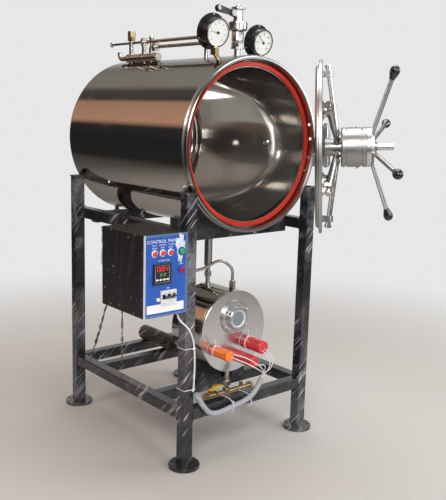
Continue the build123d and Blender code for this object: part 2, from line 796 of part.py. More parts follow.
def lock_drum():
    """Pedestal and drum that drive the bars, with turned grooves and a bore for the spindle."""
    bore_r = SPINDLE_R + PIN_CLEARANCE
    profile = [
        (bore_r, DRUM_TOP - SPINDLE_SEAT),
        (0, DRUM_TOP - SPINDLE_SEAT),
        (0, 0),
        (PEDESTAL_R + PEDESTAL_FLARE, 0),
        (PEDESTAL_R, PEDESTAL_FLARE),
        (PEDESTAL_R, DRUM_BOTTOM),
        (DRUM_R - DRUM_EDGE, DRUM_BOTTOM),
        (DRUM_R, DRUM_BOTTOM + DRUM_EDGE),
    ]
    for start in (DRUM_BOTTOM + LOW_GROOVE, DRUM_BOTTOM + HIGH_GROOVE):
        profile += [
            (DRUM_R, start),
            (DRUM_R - GROOVE_DEPTH, start),
            (DRUM_R - GROOVE_DEPTH, start + GROOVE_WIDTH),
            (DRUM_R, start + GROOVE_WIDTH),
        ]
    profile += [(DRUM_R, DRUM_TOP), (bore_r, DRUM_TOP)]
    return opened(on_door(profile))


def spoke_angles():
    """Angle of each spoke from the top."""
    return [360.0 / SPOKE_COUNT * index - SPOKE_PHASE for index in range(SPOKE_COUNT)]


def handwheel():
    """Hub with its spindle and four raked spokes."""
    hub_top = HUB_BOTTOM + HUB_THICK
    seat = DRUM_TOP - SPINDLE_SEAT + WASHER_GAP
    hub = on_door([
        (0, seat),
        (SPINDLE_R, seat),
        (SPINDLE_R, HUB_BOTTOM),
        (DRUM_R, HUB_BOTTOM),
        (DRUM_R, hub_top - HUB_EDGE),
        (DRUM_R - HUB_EDGE, hub_top),
        (HUB_CROWN_R, hub_top + HUB_CROWN / 4),
        (SPINDLE_R, hub_top + HUB_CROWN),
        (SPINDLE_R, DRUM_TOP + SPINDLE_LENGTH - BAR_EDGE),
        (SPINDLE_R - BAR_EDGE, DRUM_TOP + SPINDLE_LENGTH),
        (0, DRUM_TOP + SPINDLE_LENGTH),
    ])
    for angle in spoke_angles():
        hub += rod_between(door_point(*SPOKE_START, angle), door_point(*SPOKE_END, angle), SPOKE_R)
    return opened(hub)


def knob():
    """Pear-shaped grip standing on z = 0."""
    neck_r = SPOKE_R + KNOB_NECK
    side = Spline(
        (neck_r, 0),
        (KNOB_R * 0.87, KNOB_LENGTH * 0.38),
        (KNOB_R, KNOB_LENGTH * 0.62),
        (KNOB_R * 0.62, KNOB_LENGTH * 0.93),
        (0, KNOB_LENGTH),
    )
    foot = Line((0, 0), (neck_r, 0))
    spine = Line((0, KNOB_LENGTH), (0, 0))
    return revolve(Plane.XZ * make_face(Curve() + [foot, side, spine]), Axis.Z)


def wheel_knobs():
    """The grips on the ends of the spokes."""
    grips = []
    for angle in spoke_angles():
        start = Vector(*door_point(*SPOKE_START, angle))
        end = Vector(*door_point(*SPOKE_END, angle))
        grips.append(Location(Plane(end, z_dir=end - start)) * knob())
    return opened(Compound(grips))


def gauge_front():
    """y of the front edge of the gauges."""
    return TOP_Y - GAUGE_BEHIND - GAUGE_DEPTH


def gauge(x, rise, radius):
    """Round gauge case with its back flange, a bezel and a sunk dial."""
    front = gauge_front()
    flange_y = front + GAUGE_DEPTH
    dial_r = radius - GAUGE_BEZEL
    profile = [
        (0, flange_y + GAUGE_FLANGE_THICK),
        (radius + GAUGE_FLANGE_LIP, flange_y + GAUGE_FLANGE_THICK),
        (radius + GAUGE_FLANGE_LIP, flange_y),
        (radius, flange_y),
        (radius, front + RIM_EDGE),
        (radius - RIM_EDGE, front),
        (dial_r, front),
        (dial_r, front + GAUGE_DIAL_SINK),
        (0, front + GAUGE_DIAL_SINK),
    ]
    return turned_y(profile, x, CROWN_Z + rise)


def gauge_stem(x, rise, radius, shift):
    """Brass nut and pipe under a gauge, bent sideways into the jacket."""
    y = gauge_front() + GAUGE_DEPTH / 2
    case_z = CROWN_Z + rise
    under = case_z - radius
    foot = (x + shift, y, AXIS_Z + jacket_height(x + shift) - 2 * STEM_R)
    knee = (x, y, foot[2] + abs(shift))
    pipe = bent_pipe([(x, y, case_z), knee, foot], STEM_BEND_R, STEM_R)
    nut = nut_z(STEM_NUT, under - GAUGE_FLANGE_LIP - STEM_NUT_HEIGHT / 2, STEM_NUT_HEIGHT, x, y)
    case = rod_y(radius, y - GAUGE_DEPTH, y + GAUGE_DEPTH / 2 + GAUGE_FLANGE_THICK, x, case_z)
    return pipe + nut - jacket_body() - case


def gauge_stems():
    """The stems of both gauges."""
    left = gauge_stem(LEFT_GAUGE_X, LEFT_GAUGE_RISE, LEFT_GAUGE_R, STEM_SHIFT)
    right = gauge_stem(RIGHT_GAUGE_X, RIGHT_GAUGE_RISE, RIGHT_GAUGE_R, -STEM_SHIFT)
    return Compound([left, right])


def valve_levels():
    """Heights of the valve's lower flange, core, collar, stem and cap."""
    flange = CROWN_Z + VALVE_NECK
    core = flange + VALVE_FLANGE
    collar = core + VALVE_CORE
    stem = collar + VALVE_COLLAR
    return flange, core, collar, stem, stem + VALVE_STEM


def fork_place():
    """x and z of the lever's pivot."""
    return VALVE_X - FORK_X, valve_levels()[4] - FORK_DROP


def fork():
    """Two cheeks on the side of the valve, with the lever's pin."""
    x, z = fork_place()
    cap_bottom = valve_levels()[4]
    outer = LEVER_THICK / 2 + SOFT_CLEARANCE + FORK_CHEEK
    cheek = Pos(0, z - AXIS_Z) * Circle(FORK_R)
    root = Pos(FORK_X - VALVE_STEM_R / 2, z - AXIS_Z) * Rectangle(VALVE_STEM_R, 2 * (cap_bottom - z) - 2)
    outline = make_hull(cheek.edges() + root.edges())
    body = Pos(x, TOP_Y + outer, AXIS_Z) * Rot(90, 0, 0) * extrude(outline, 2 * outer)
    gap = LEVER_THICK / 2 + SOFT_CLEARANCE
    slot = block((x - 2 * FORK_R, VALVE_X - VALVE_STEM_R), (TOP_Y - gap, TOP_Y + gap), (z - 3 * FORK_R, cap_bottom))
    return body - slot + rod_y(FORK_PIN_R, TOP_Y - outer, TOP_Y + outer, x, z)


def safety_valve():
    """Turned column of the safety valve with its ring of rods, collar, cap and lever fork."""
    flange, core, collar, stem, cap = valve_levels()
    steps = [
        (VALVE_BASE_R, VALVE_NECK / 2),
        (VALVE_NECK_R, VALVE_NECK),
        (VALVE_FLANGE_R, VALVE_FLANGE),
        (VALVE_CORE_R, VALVE_CORE),
    ]
    profile = stacked(steps, CROWN_Z - VALVE_NECK / 2)[:-1]
    profile += [
        (VALVE_COLLAR_R - VALVE_COLLAR_BEVEL, collar),
        (VALVE_COLLAR_R, collar + VALVE_COLLAR_BEVEL),
        (VALVE_COLLAR_R, stem - VALVE_COLLAR_BEVEL),
        (VALVE_COLLAR_R - VALVE_COLLAR_BEVEL, stem),
        (VALVE_STEM_R, stem),
        (VALVE_STEM_R, cap),
        (VALVE_CAP_R, cap),
        (VALVE_CAP_R, cap + VALVE_CAP),
        (0, cap + VALVE_CAP),
    ]
    body = turned_z(profile, VALVE_X, TOP_Y) + fork()
    body += Pos(VALVE_X, TOP_Y, cap + VALVE_CAP) * (Sphere(VALVE_DOME_R) & Pos(0, 0, VALVE_DOME_R) * Box(
        2 * VALVE_DOME_R, 2 * VALVE_DOME_R, 2 * VALVE_DOME_R))
    for place in PolarLocations(VALVE_ROD_CIRCLE, VALVE_ROD_COUNT):
        body += Pos(VALVE_X, TOP_Y, core) * place * Pos(0, 0, VALVE_CORE / 2) * Cylinder(VALVE_ROD_R, VALVE_CORE)
    side_rod_x = VALVE_X + VALVE_CAP_R - VALVE_ROD_R
    body += rod_z(VALVE_ROD_R / 2, stem - VALVE_COLLAR_BEVEL, cap, side_rod_x, TOP_Y)
    return body - jacket_body()


def valve_lever():
    """Lifting lever of the safety valve: hub on the fork's pin, tapered arm, and a bolt in its eye."""
    x, z = fork_place()
    hub = Circle(LEVER_HUB_R)
    eye = Pos(-LEVER_REACH, LEVER_RISE) * Circle(LEVER_EYE_R)
    outline = make_hull(hub.edges() + eye.edges()) - Circle(FORK_PIN_R + PIN_CLEARANCE)
    arm = Pos(0, LEVER_THICK / 2, 0) * Rot(90, 0, 0) * extrude(outline, LEVER_THICK)
    half = LEVER_BOLT_LENGTH / 2
    bolt = rod_y(LEVER_BOLT_R, -half, half, -LEVER_REACH, LEVER_RISE)
    return Pos(x, TOP_Y, z) * (arm + bolt)


def cluster_z(rise):
    """Height of a fitting of the back pipework over the jacket's surface below it."""
    return AXIS_Z + jacket_height(CLUSTER_X) + rise


def cluster_pipe(radius, front, back, rise):
    """A straight pipe of the back pipework, along the jacket."""
    return rod_y(radius, front, back, CLUSTER_X, cluster_z(rise))


def cluster_nut(y, rise):
    """A union nut of the back pipework, lying along it."""
    length = CLUSTER_NUT / 2
    return nut_y(CLUSTER_NUT, y - length / 2, length, CLUSTER_X, cluster_z(rise))


def back_pipework():
    """Manifold on the jacket with its elbow, tee, dome nut, release arm and two pipes forward."""
    manifold = cluster_pipe(MANIFOLD_R, MANIFOLD_FRONT, MANIFOLD_BACK, MANIFOLD_RISE)
    elbow_points = [
        (CLUSTER_X, MANIFOLD_BACK - CLUSTER_NUT, cluster_z(MANIFOLD_RISE)),
        (CLUSTER_X, ELBOW_Y, cluster_z(MANIFOLD_RISE)),
        (CLUSTER_X, ELBOW_Y, cluster_z(ELBOW_RISE)),
    ]
    body = manifold + bent_pipe(elbow_points, ELBOW_BEND_R, CLUSTER_PIPE_R)
    for y in (MANIFOLD_FRONT, TEE_Y, MANIFOLD_BACK):
        body += cluster_nut(y, MANIFOLD_RISE)
    for y, rise in ((TEE_Y, UPPER_PIPE_RISE), (DOME_Y, LOWER_PIPE_RISE), (VENT_Y, VENT_RISE)):
        body += rod_z(CLUSTER_PIPE_R, cluster_z(0), cluster_z(rise), CLUSTER_X, y)
    body += cluster_pipe(BRANCH_R, UPPER_PIPE_FRONT, TEE_Y, UPPER_PIPE_RISE)
    body += cluster_pipe(BRANCH_R, LOWER_PIPE_FRONT, DOME_Y, LOWER_PIPE_RISE)
    body += cluster_nut(DOME_Y - CLUSTER_NUT, LOWER_PIPE_RISE) + cluster_nut(TEE_Y, UPPER_PIPE_RISE)
    dome_z = cluster_z(UPPER_PIPE_RISE + 2 * BRANCH_R)
    body += rod_z(BRANCH_R, cluster_z(LOWER_PIPE_RISE), dome_z, CLUSTER_X, DOME_Y)
    body += Pos(CLUSTER_X, DOME_Y, dome_z) * Sphere(1.6 * BRANCH_R)
    body += rod_z(BRANCH_R, cluster_z(0), cluster_z(UPPER_PIPE_RISE), CLUSTER_X, PIPE_FOOT_Y)
    return body + release_arm() - jacket_body()


def release_arm():
    """Flat arm with an eye that reaches back from the tee."""
    z = cluster_z(UPPER_PIPE_RISE)
    thick = RELEASE_ARM_THICK / 2
    xs = (CLUSTER_X - thick, CLUSTER_X + thick)
    half = RELEASE_ARM_HEIGHT / 2
    arm = block(xs, (TEE_Y, RELEASE_ARM_Y), (z - half, z + half))
    eye = rod_x(RELEASE_EYE_R, *xs, RELEASE_ARM_Y, z)
    return arm + eye - rod_x(RELEASE_EYE_R / 2, *xs, RELEASE_ARM_Y, z)


def air_vent():
    """Brass vent on the back pipework, open at its top."""
    bottom = cluster_z(VENT_RISE)
    body = stacked([(VENT_R, VENT_LENGTH)], bottom)
    vent = turned_z(body, CLUSTER_X, VENT_Y) + nut_z(2 * VENT_R, bottom, VENT_R, CLUSTER_X, VENT_Y)
    return vent - rod_z(VENT_BORE_R, bottom + VENT_LENGTH - VENT_BORE_DEPTH, bottom + VENT_LENGTH, CLUSTER_X, VENT_Y)


def jacket_nozzle(x, y):
    """Short plugged nozzle under the jacket."""
    surface = AXIS_Z - jacket_height(x)
    bottom = surface - NOZZLE_DROP
    pipe = rod_z(NOZZLE_R, bottom, surface + 2 * NOZZLE_R, x, y)
    return pipe + nut_z(NOZZLE_NUT, bottom, NOZZLE_NUT_HEIGHT, x, y) - jacket_body()


def jacket_nozzles():
    """The row of nozzles under the left of the jacket and the one under its mouth."""
    row = [jacket_nozzle(NOZZLE_X, y) for y in NOZZLE_YS]
    return Compound(row + [jacket_nozzle(RING_NOZZLE_X, RING_NOZZLE_Y)])


def boiler_shell():
    """Boiler drum without its ends, with a raised band behind the front plate."""
    outer = rod_y(BOILER_R, BOILER_SHELL_Y, BOILER_BACK, BOILER_X, BOILER_Z)
    band_r = BOILER_R + BOILER_PLATE_LIP
    outer += rod_y(band_r, BOILER_SHELL_Y, BOILER_SHELL_Y + BAND_LENGTH, BOILER_X, BOILER_Z)
    return outer - rod_y(BOILER_R - BOILER_WALL, BOILER_SHELL_Y, BOILER_BACK, BOILER_X, BOILER_Z)


def boiler_back():
    """Dished end of the boiler."""
    return Pos(BOILER_X, BOILER_BACK, BOILER_Z) * Rot(-90, 0, 0) * dished_cap(BOILER_R, BOILER_DISH)


def boiler_plate():
    """Round front plate of the boiler."""
    radius = BOILER_R + BOILER_PLATE_LIP
    plate = rod_y(radius, BOILER_PLATE_Y, BOILER_SHELL_Y, BOILER_X, BOILER_Z)
    return chamfer(plate.edges(), BOILER_PLATE_EDGE)


def sight_flange():
    """Round flange and housing of the sight glass."""
    mid = BOILER_PLATE_Y - SIGHT_FLANGE_THICK
    front = mid - SIGHT_HOUSING_LENGTH
    profile = [
        (SIGHT_GLASS_R, BOILER_PLATE_Y),
        (SIGHT_FLANGE_R, BOILER_PLATE_Y),
        (SIGHT_FLANGE_R, mid + SIGHT_FLANGE_EDGE),
        (SIGHT_FLANGE_R - SIGHT_FLANGE_EDGE, mid),
        (SIGHT_HOUSING_R, mid),
        (SIGHT_HOUSING_R, front + SIGHT_FLANGE_EDGE),
        (SIGHT_HOUSING_R - SIGHT_FLANGE_EDGE, front),
        (SIGHT_GLASS_R, front),
    ]
    return turned_y(profile, BOILER_X, BOILER_Z + SIGHT_RISE)


def sight_glass():
    """Glass disc inside the housing."""
    front = BOILER_PLATE_Y - SIGHT_FLANGE_THICK - SIGHT_HOUSING_LENGTH + SIGHT_GLASS_SINK
    radius = SIGHT_GLASS_R - PIN_CLEARANCE
    return rod_y(radius, front, front + SIGHT_GLASS_THICK, BOILER_X, BOILER_Z + SIGHT_RISE)


def cap_front():
    """y of the front ends of the heater caps."""
    return BOILER_PLATE_Y - CAP_LENGTH


def heater_caps():
    """Rubber caps over the three heater ends."""
    caps = []
    for side, rise, radius in (RIGHT_CAP, LEFT_CAP, LOW_CAP):
        cap = rod_y(radius, cap_front(), BOILER_PLATE_Y, BOILER_X + side, BOILER_Z + rise)
        caps.append(fillet(cap.edges().group_by(Axis.Y)[0], CAP_EDGE))
    return Compound(caps)


def steam_pipe():
    """Pipe from the boiler up to the jacket, with a union low down and a collar at the top."""
    y = BOILER_PLATE_Y + STEAM_BEHIND
    neck_top = BOILER_TOP + STEAM_NECK
    profile = [
        (0, BOILER_TOP - STEAM_PIPE_R),
        (STEAM_NECK_R, BOILER_TOP - STEAM_PIPE_R),
        (STEAM_NECK_R, neck_top),
        (STEAM_PIPE_R, neck_top + STEAM_TAPER),
        (STEAM_PIPE_R, KEEL_Z - STEAM_COLLAR),
        (STEAM_COLLAR_R, KEEL_Z - STEAM_COLLAR),
        (STEAM_COLLAR_R, KEEL_Z + STEAM_TAPER),
        (0, KEEL_Z + STEAM_TAPER),
    ]
    pipe = turned_z(profile, BOILER_X, y)
    union = nut_z(STEAM_UNION, BOILER_TOP + STEAM_UNION_RISE, STEAM_UNION_HEIGHT, BOILER_X, y)
    return pipe + union - jacket_body() - boiler_body()


def pressure_tube():
    """Small tube that arches from the top of the boiler over to the control box."""
    x = BOILER_X + GAUGE_TUBE_SIDE
    y = BOILER_PLATE_Y + GAUGE_TUBE_BEHIND
    z = BOILER_TOP
    turns = [(x + side, y, z + rise) for side, rise in GAUGE_TUBE_TURNS]
    points = [(x, y, z - BOILER_WALL), *turns, (BOX_RIGHT, y, z + GAUGE_TUBE_RISE)]
    tube = bent_pipe(points, list(GAUGE_TUBE_BENDS), GAUGE_TUBE_R)
    nut = nut_z(GAUGE_NUT, z - GAUGE_NUT / 2, GAUGE_NUT_HEIGHT + GAUGE_NUT / 2, x, y)
    collar = nut_x(GAUGE_NUT, BOX_RIGHT, GAUGE_NUT / 2, y, z + GAUGE_TUBE_RISE)
    return tube + nut + collar - boiler_body() - box_form()


def drain_pipe():
    """Drain under the boiler with a union nut."""
    bottom = DRAIN_VALVE_Z + TEE_R
    pipe = rod_z(DRAIN_R, bottom, BOILER_Z - BOILER_R + BOILER_WALL, DRAIN_X, DRAIN_Y)
    union = nut_z(DRAIN_UNION, bottom + DRAIN_UNION_RISE, DRAIN_UNION_HEIGHT, DRAIN_X, DRAIN_Y)
    return pipe + union - boiler_body()


def drain_valve():
    """Brass tee, ball valve to its left and cock to its right, in one line across the stand."""
    y, z = DRAIN_Y, DRAIN_VALVE_Z
    body = rod_z(TEE_R, z - TEE_R, z + TEE_R, DRAIN_X, y)
    body += rod_x(COCK_R, BALL_VALVE_X, DRAIN_X + COCK_AWAY, y, z)
    body += rod_x(VALVE_BODY_R, BALL_VALVE_X - VALVE_BODY_HALF, BALL_VALVE_X + VALVE_BODY_HALF, y, z)
    for start in (BALL_VALVE_X - VALVE_BODY_HALF, BALL_VALVE_X + VALVE_BODY_HALF - VALVE_END_LENGTH):
        body += nut_x(VALVE_END_HEX, start, VALVE_END_LENGTH, y, z)
    body += nut_x(VALVE_END_HEX, DRAIN_X + COCK_AWAY - VALVE_END_LENGTH, VALVE_END_LENGTH, y, z)
    body += rod_z(HANDLE_BOSS_R, z, z + HANDLE_BOSS_RISE, BALL_VALVE_X, y)
    body += rod_z(HANDLE_BOSS_R, z, z + HANDLE_BOSS_RISE, DRAIN_X + COCK_AWAY - 2 * VALVE_BODY_HALF, y)
    seat = z + HANDLE_BOSS_RISE - HANDLE_PIN_SEAT - WASHER_GAP
    return body - rod_z(HANDLE_PIN_R + PIN_CLEARANCE, seat, z + HANDLE_BOSS_RISE, BALL_VALVE_X, y)


def drain_valve_handle():
    """Stepped lever of the ball valve on its stem."""
    y = DRAIN_Y
    low = DRAIN_VALVE_Z + HANDLE_BOSS_RISE + WASHER_GAP
    high = low + HANDLE_STEP
    knee = BALL_VALVE_X + 2 * HANDLE_BOSS_R
    half = HANDLE_WIDTH / 2
    outline = [
        (BALL_VALVE_X - half, low),
        (knee, low),
        (knee + HANDLE_STEP, high),
        (BALL_VALVE_X + HANDLE_REACH, high),
        (BALL_VALVE_X + HANDLE_REACH, high + HANDLE_THICK),
        (knee + HANDLE_STEP - HANDLE_THICK, high + HANDLE_THICK),
        (knee - HANDLE_THICK, low + HANDLE_THICK),
        (BALL_VALVE_X - half, low + HANDLE_THICK),
    ]
    face = make_face(Polyline(*outline, close=True))
    lever = Pos(0, y + half, 0) * Rot(90, 0, 0) * extrude(face, HANDLE_WIDTH)
    return lever + rod_z(HANDLE_PIN_R, low - HANDLE_PIN_SEAT, low, BALL_VALVE_X, y)


def drain_header():
    """Large capped pipe on the boiler rails, running back from under the boiler."""
    z = LOW_RAIL_TOP + HEADER_R
    pipe = rod_y(HEADER_R, HEADER_FRONT, HEADER_FRONT + HEADER_LENGTH, HEADER_X, z)
    return fillet(pipe.edges(), HEADER_EDGE)


def box_form():
    """The solid outer form of the control box."""
    ys = (BOX_FRONT, BOX_FRONT + BOX_DEPTH)
    outer = block((BOX_LEFT, BOX_RIGHT), ys, (BOX_BOTTOM, BOX_TOP))
    return fillet(outer.edges().filter_by(Axis.Y), BOX_CORNER)


def panel_spans(margin):
    """x and z spans of the panel's opening, less a margin all round."""
    xs = (BOX_LEFT + margin, BOX_RIGHT - margin)
    return xs, (BOX_BOTTOM + margin, BOX_TOP - margin)


def control_box():
    """Folded sheet box, open behind the panel, with a lip that the panel sits on."""
    inside = block(
        (BOX_LEFT + BOX_WALL, BOX_RIGHT - BOX_WALL),
        (BOX_FRONT + PANEL_THICK + BOX_WALL, BOX_FRONT + BOX_DEPTH - BOX_WALL),
        (BOX_BOTTOM + BOX_WALL, BOX_TOP - BOX_WALL),
    )
    xs, zs = panel_spans(PANEL_MARGIN)
    recess = block(xs, (BOX_FRONT, BOX_FRONT + PANEL_THICK), zs)
    xs, zs = panel_spans(PANEL_MARGIN + PANEL_LIP)
    window = block(xs, (BOX_FRONT, BOX_FRONT + PANEL_THICK + BOX_WALL), zs)
    return box_form() - inside - recess - window


def control_panel():
    """Blue front panel with the collars of the buttons, their holes and the cut-out of the breaker."""
    xs, zs = panel_spans(PANEL_MARGIN)
    back = BOX_FRONT + PANEL_THICK
    panel = block(xs, (BOX_FRONT, back), zs)
    for rise in (START_RISE, STOP_RISE):
        x, z = BOX_LEFT + BUTTON_SIDE, BOX_BOTTOM + rise
        panel += rod_y(BUTTON_COLLAR_R, BOX_FRONT - BUTTON_COLLAR, BOX_FRONT, x, z)
        panel -= rod_y(BUTTON_R + SOFT_CLEARANCE, BOX_FRONT - BUTTON_COLLAR, back, x, z)
    return panel


def lamps():
    """Three round indicator lamps and the small fuse cap."""
    pieces = [(side, START_RISE, LAMP_R) for side in LAMP_SIDES] + [(FUSE_SIDE, FUSE_RISE, FUSE_R)]
    bodies = []
    for side, rise, radius in pieces:
        lamp = rod_y(radius, BOX_FRONT - LAMP_STAND, BOX_FRONT, BOX_LEFT + side, BOX_BOTTOM + rise)
        bodies.append(fillet(lamp.edges().group_by(Axis.Y)[0], radius / 2))
    return Compound(bodies)


def push_button(rise):
    """Round push button in its collar."""
    ys = (BOX_FRONT - BUTTON_STAND, BOX_FRONT + BUTTON_DEPTH)
    button = rod_y(BUTTON_R, *ys, BOX_LEFT + BUTTON_SIDE, BOX_BOTTOM + rise)
    return fillet(button.edges().group_by(Axis.Y)[0], RIM_EDGE)


def panel_block(side, rise, width, height, stand):
    """A rectangular device standing on the panel, by its centre."""
    x, z = BOX_LEFT + side, BOX_BOTTOM + rise
    xs = (x - width / 2, x + width / 2)
    return block(xs, (BOX_FRONT - stand, BOX_FRONT), (z - height / 2, z + height / 2))


def controller():
    """Square digital controller with a raised frame round its face."""
    body = panel_block(CONTROLLER_SIDE, CONTROLLER_RISE, CONTROLLER_SIZE, CONTROLLER_SIZE, CONTROLLER_STAND)
    body = fillet(body.edges().group_by(Axis.Y)[0], RIM_EDGE)
    face = CONTROLLER_SIZE - 2 * CONTROLLER_FRAME
    sink = Pos(0, -CONTROLLER_STAND + CONTROLLER_SINK, 0) * panel_block(
        CONTROLLER_SIDE, CONTROLLER_RISE, face, face, CONTROLLER_SINK)
    return body - sink


def toggle_axis():
    """The line along x that the toggle rocks about, just behind the breaker's face."""
    return BOX_LEFT + BREAKER_SIDE, BOX_FRONT - BREAKER_STAND + 1, BOX_BOTTOM + BREAKER_RISE


def toggle_root(radius, half_width):
    """Round root of the toggle."""
    x, y, z = toggle_axis()
    return rod_x(radius, x - half_width, x + half_width, y, z)


def breaker():
    """Three-pole breaker face with the round seat of its toggle."""
    body = panel_block(BREAKER_SIDE, BREAKER_RISE, BREAKER_WIDTH, BREAKER_HEIGHT, BREAKER_STAND)
    body = fillet(body.edges().group_by(Axis.Y)[0], RIM_EDGE / 2)
    return body - toggle_root(TOGGLE_ROOT_R + SOFT_CLEARANCE, TOGGLE_WIDTH / 2 + SOFT_CLEARANCE)


def breaker_toggle():
    """Joined toggle of the three poles, switched up."""
    x, y, z = toggle_axis()
    finger = block(
        (x - TOGGLE_WIDTH / 2, x + TOGGLE_WIDTH / 2),
        (y - TOGGLE_LENGTH - TOGGLE_ROOT_R, y),
        (z - TOGGLE_THICK / 2, z + TOGGLE_THICK / 2),
    )
    finger = fillet(finger.edges().filter_by(Axis.X).group_by(Axis.Y)[0], TOGGLE_THICK / 4)
    toggle = toggle_root(TOGGLE_ROOT_R, TOGGLE_WIDTH / 2) + finger
    return toggle.rotate(Axis((x, y, z), (1, 0, 0)), -TOGGLE_UP)


def arc_radii(points):
    """The largest arc at each corner that its two runs allow."""
    radii = []
    for before, corner, after in zip(points, points[1:], points[2:]):
        come = Vector(*corner) - Vector(*before)
        go = Vector(*after) - Vector(*corner)
        half_turn = radians(come.get_angle(go)) / 2
        radii.append(0.45 * min(come.length, go.length) / tan(half_turn))
    return radii


def cord_tube(points, radius):
    """A cord's plain tube along its route."""
    return bent_pipe(points, arc_radii(points), radius)


def sleeve_route():
    """Route of the heater sleeve, in front of the front rail and up to the left leg."""
    return [
        (37, -31, 250),
        (13, -31, 207),
        (-32, -29, 181),
        (-84, -26, 175),
        (-138, -25, 165),
        (-184, -24, 169),
        (-219, -22, 205),
        (-250, -21.3, 250),
    ]


def lead_routes():
    """Routes of the heater leads, straight out of the caps and into the mouth of the sleeve."""
    first, second = [Vector(*point) for point in sleeve_route()[:2]]
    mouth = Plane(first, z_dir=first - second)
    y = cap_front()
    routes = []
    for index, (x, z, turns) in enumerate(LEADS):
        place = Location((0, 0, 0), (0, 0, 360.0 / len(LEADS) * index)) * Pos(LEAD_SPREAD, 0, 0)
        local = place.position
        ends = [mouth.from_local_coords((local.X, local.Y, height)) for height in (LEAD_STRAIGHT, 0)]
        route = [(x, y, z), (x, y - LEAD_STRAIGHT, z), *turns]
        routes.append(route + [tuple(end) for end in ends])
    return routes


def riser_route():
    """Route of the cable from the sleeve up the front of the left leg and round to the box."""
    return [
        (-256, -15.3, 258),
        (-252, -15.3, 318),
        (-254, -15.3, 378),
        (-260, -15.3, 430),
        (-280, -17, 470),
        (-296, -9, 494),
        (-300, 6, BOX_BOTTOM - 14),
        (-300, 6, BOX_BOTTOM),
    ]


def make_stand():
    """Legs, rails and saddles."""
    for name, (x, y) in leg_places().items():
        keep(name, leg(x, y))
    keep("side_rails", side_rails())
    keep("cross_rails", cross_rails())
    keep("saddles", saddles())


def make_vessel():
    """Jacket, ring, chamber and the nozzles under it."""
    keep("jacket", jacket())
    keep("rear_head", rear_head())
    keep("door_ring", door_ring())
    keep("gasket", gasket())
    keep("chamber_shell", chamber_shell())
    keep("chamber_back", chamber_back())
    keep("hinge_bracket", hinge_bracket())
    keep("jacket_nozzles", jacket_nozzles())


def make_door():
    """Door plate, lock and handwheel."""
    keep("door_plate", door_plate())
    keep("bar_guides", bar_guides())
    keep("lock_drum", lock_drum())
    for number, angle in enumerate(bar_angles(), start=1):
        keep(f"lock_bar_{number}", lock_bar(angle))
    keep("handwheel", handwheel())
    keep("wheel_knobs", wheel_knobs())


def make_top_fittings():
    """Gauges, safety valve and the pipework near the back."""
    keep("gauge_left", gauge(LEFT_GAUGE_X, LEFT_GAUGE_RISE, LEFT_GAUGE_R))
    keep("gauge_right", gauge(RIGHT_GAUGE_X, RIGHT_GAUGE_RISE, RIGHT_GAUGE_R))
    keep("gauge_stems", gauge_stems())
    keep("safety_valve", safety_valve())
    keep("valve_lever", valve_lever())
    keep("back_pipework", back_pipework())
    keep("air_vent", air_vent())


def make_boiler():
    """Boiler, its heaters and its pipes."""
    keep("boiler_shell", boiler_shell())
    keep("boiler_back", boiler_back())
    keep("boiler_plate", boiler_plate())
    keep("sight_flange", sight_flange())
    keep("sight_glass", sight_glass())
    keep("heater_caps", heater_caps())
    keep("heater_sleeve", cord_tube(sleeve_route(), SLEEVE_R))
    keep("heater_leads", Compound([cord_tube(route, LEAD_R) for route in lead_routes()]))
    keep("riser_cable", cord_tube(riser_route(), RISER_R))
    keep("steam_pipe", steam_pipe())
    keep("pressure_tube", pressure_tube())
    keep("drain_pipe", drain_pipe())
    keep("drain_valve", drain_valve())
    keep("drain_valve_handle", drain_valve_handle())
    keep("drain_header", drain_header())


def make_controls():
    """Control box and what is on its panel."""
    keep("control_box", control_box())
    keep("control_panel", control_panel())
    keep("lamps", lamps())
    keep("button_start", push_button(START_RISE))
    keep("button_stop", push_button(STOP_RISE))
    keep("controller", controller())
    keep("breaker", breaker())
    keep("breaker_toggle", breaker_toggle())


def write_all():
    """Move everything to the middle of the footprint and write one file a node."""
    os.makedirs("parts", exist_ok=True)
    box = Compound(list(PARTS.values())).bounding_box()
    middle = box.center()
    move = Pos(-middle.X, -middle.Y, -box.min.Z)
    for name, shape in PARTS.items():
        export_step(move * shape, f"parts/{name}.step")
    print(f"SHIFT {-middle.X:.4f} {-middle.Y:.4f} {-box.min.Z:.4f}")
    print(f"SIZE {box.size.X:.1f} {box.size.Y:.1f} {box.size.Z:.1f}")


def print_cord_radii():
    """Print the bend radii of every cord."""
    for route in [sleeve_route(), riser_route()] + lead_routes():
        print("cord radii", [round(radius, 1) for radius in arc_radii(route)])


make_stand()
make_vessel()
make_door()
make_top_fittings()
make_boiler()
make_controls()
write_all()
print_cord_radii()
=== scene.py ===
"""Finish, fine detail, cords and studio for the horizontal autoclave.

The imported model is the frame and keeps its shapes. This script gives every piece its finish and adds
the dials, fasteners, welds, ties, leads and printed panel. Closer shapes stand for the saddles, the two
gauge cases and the safety valve's column. Points are worked out in the object's own millimetres (x from
the chamber axis, y from the front of its rim, z from the floor) and become metres in the frame when a
piece is made.
"""
import json
from math import cos, pi, radians, sin, sqrt

import bmesh
import bpy
import numpy as np
from mathutils import Matrix, Vector


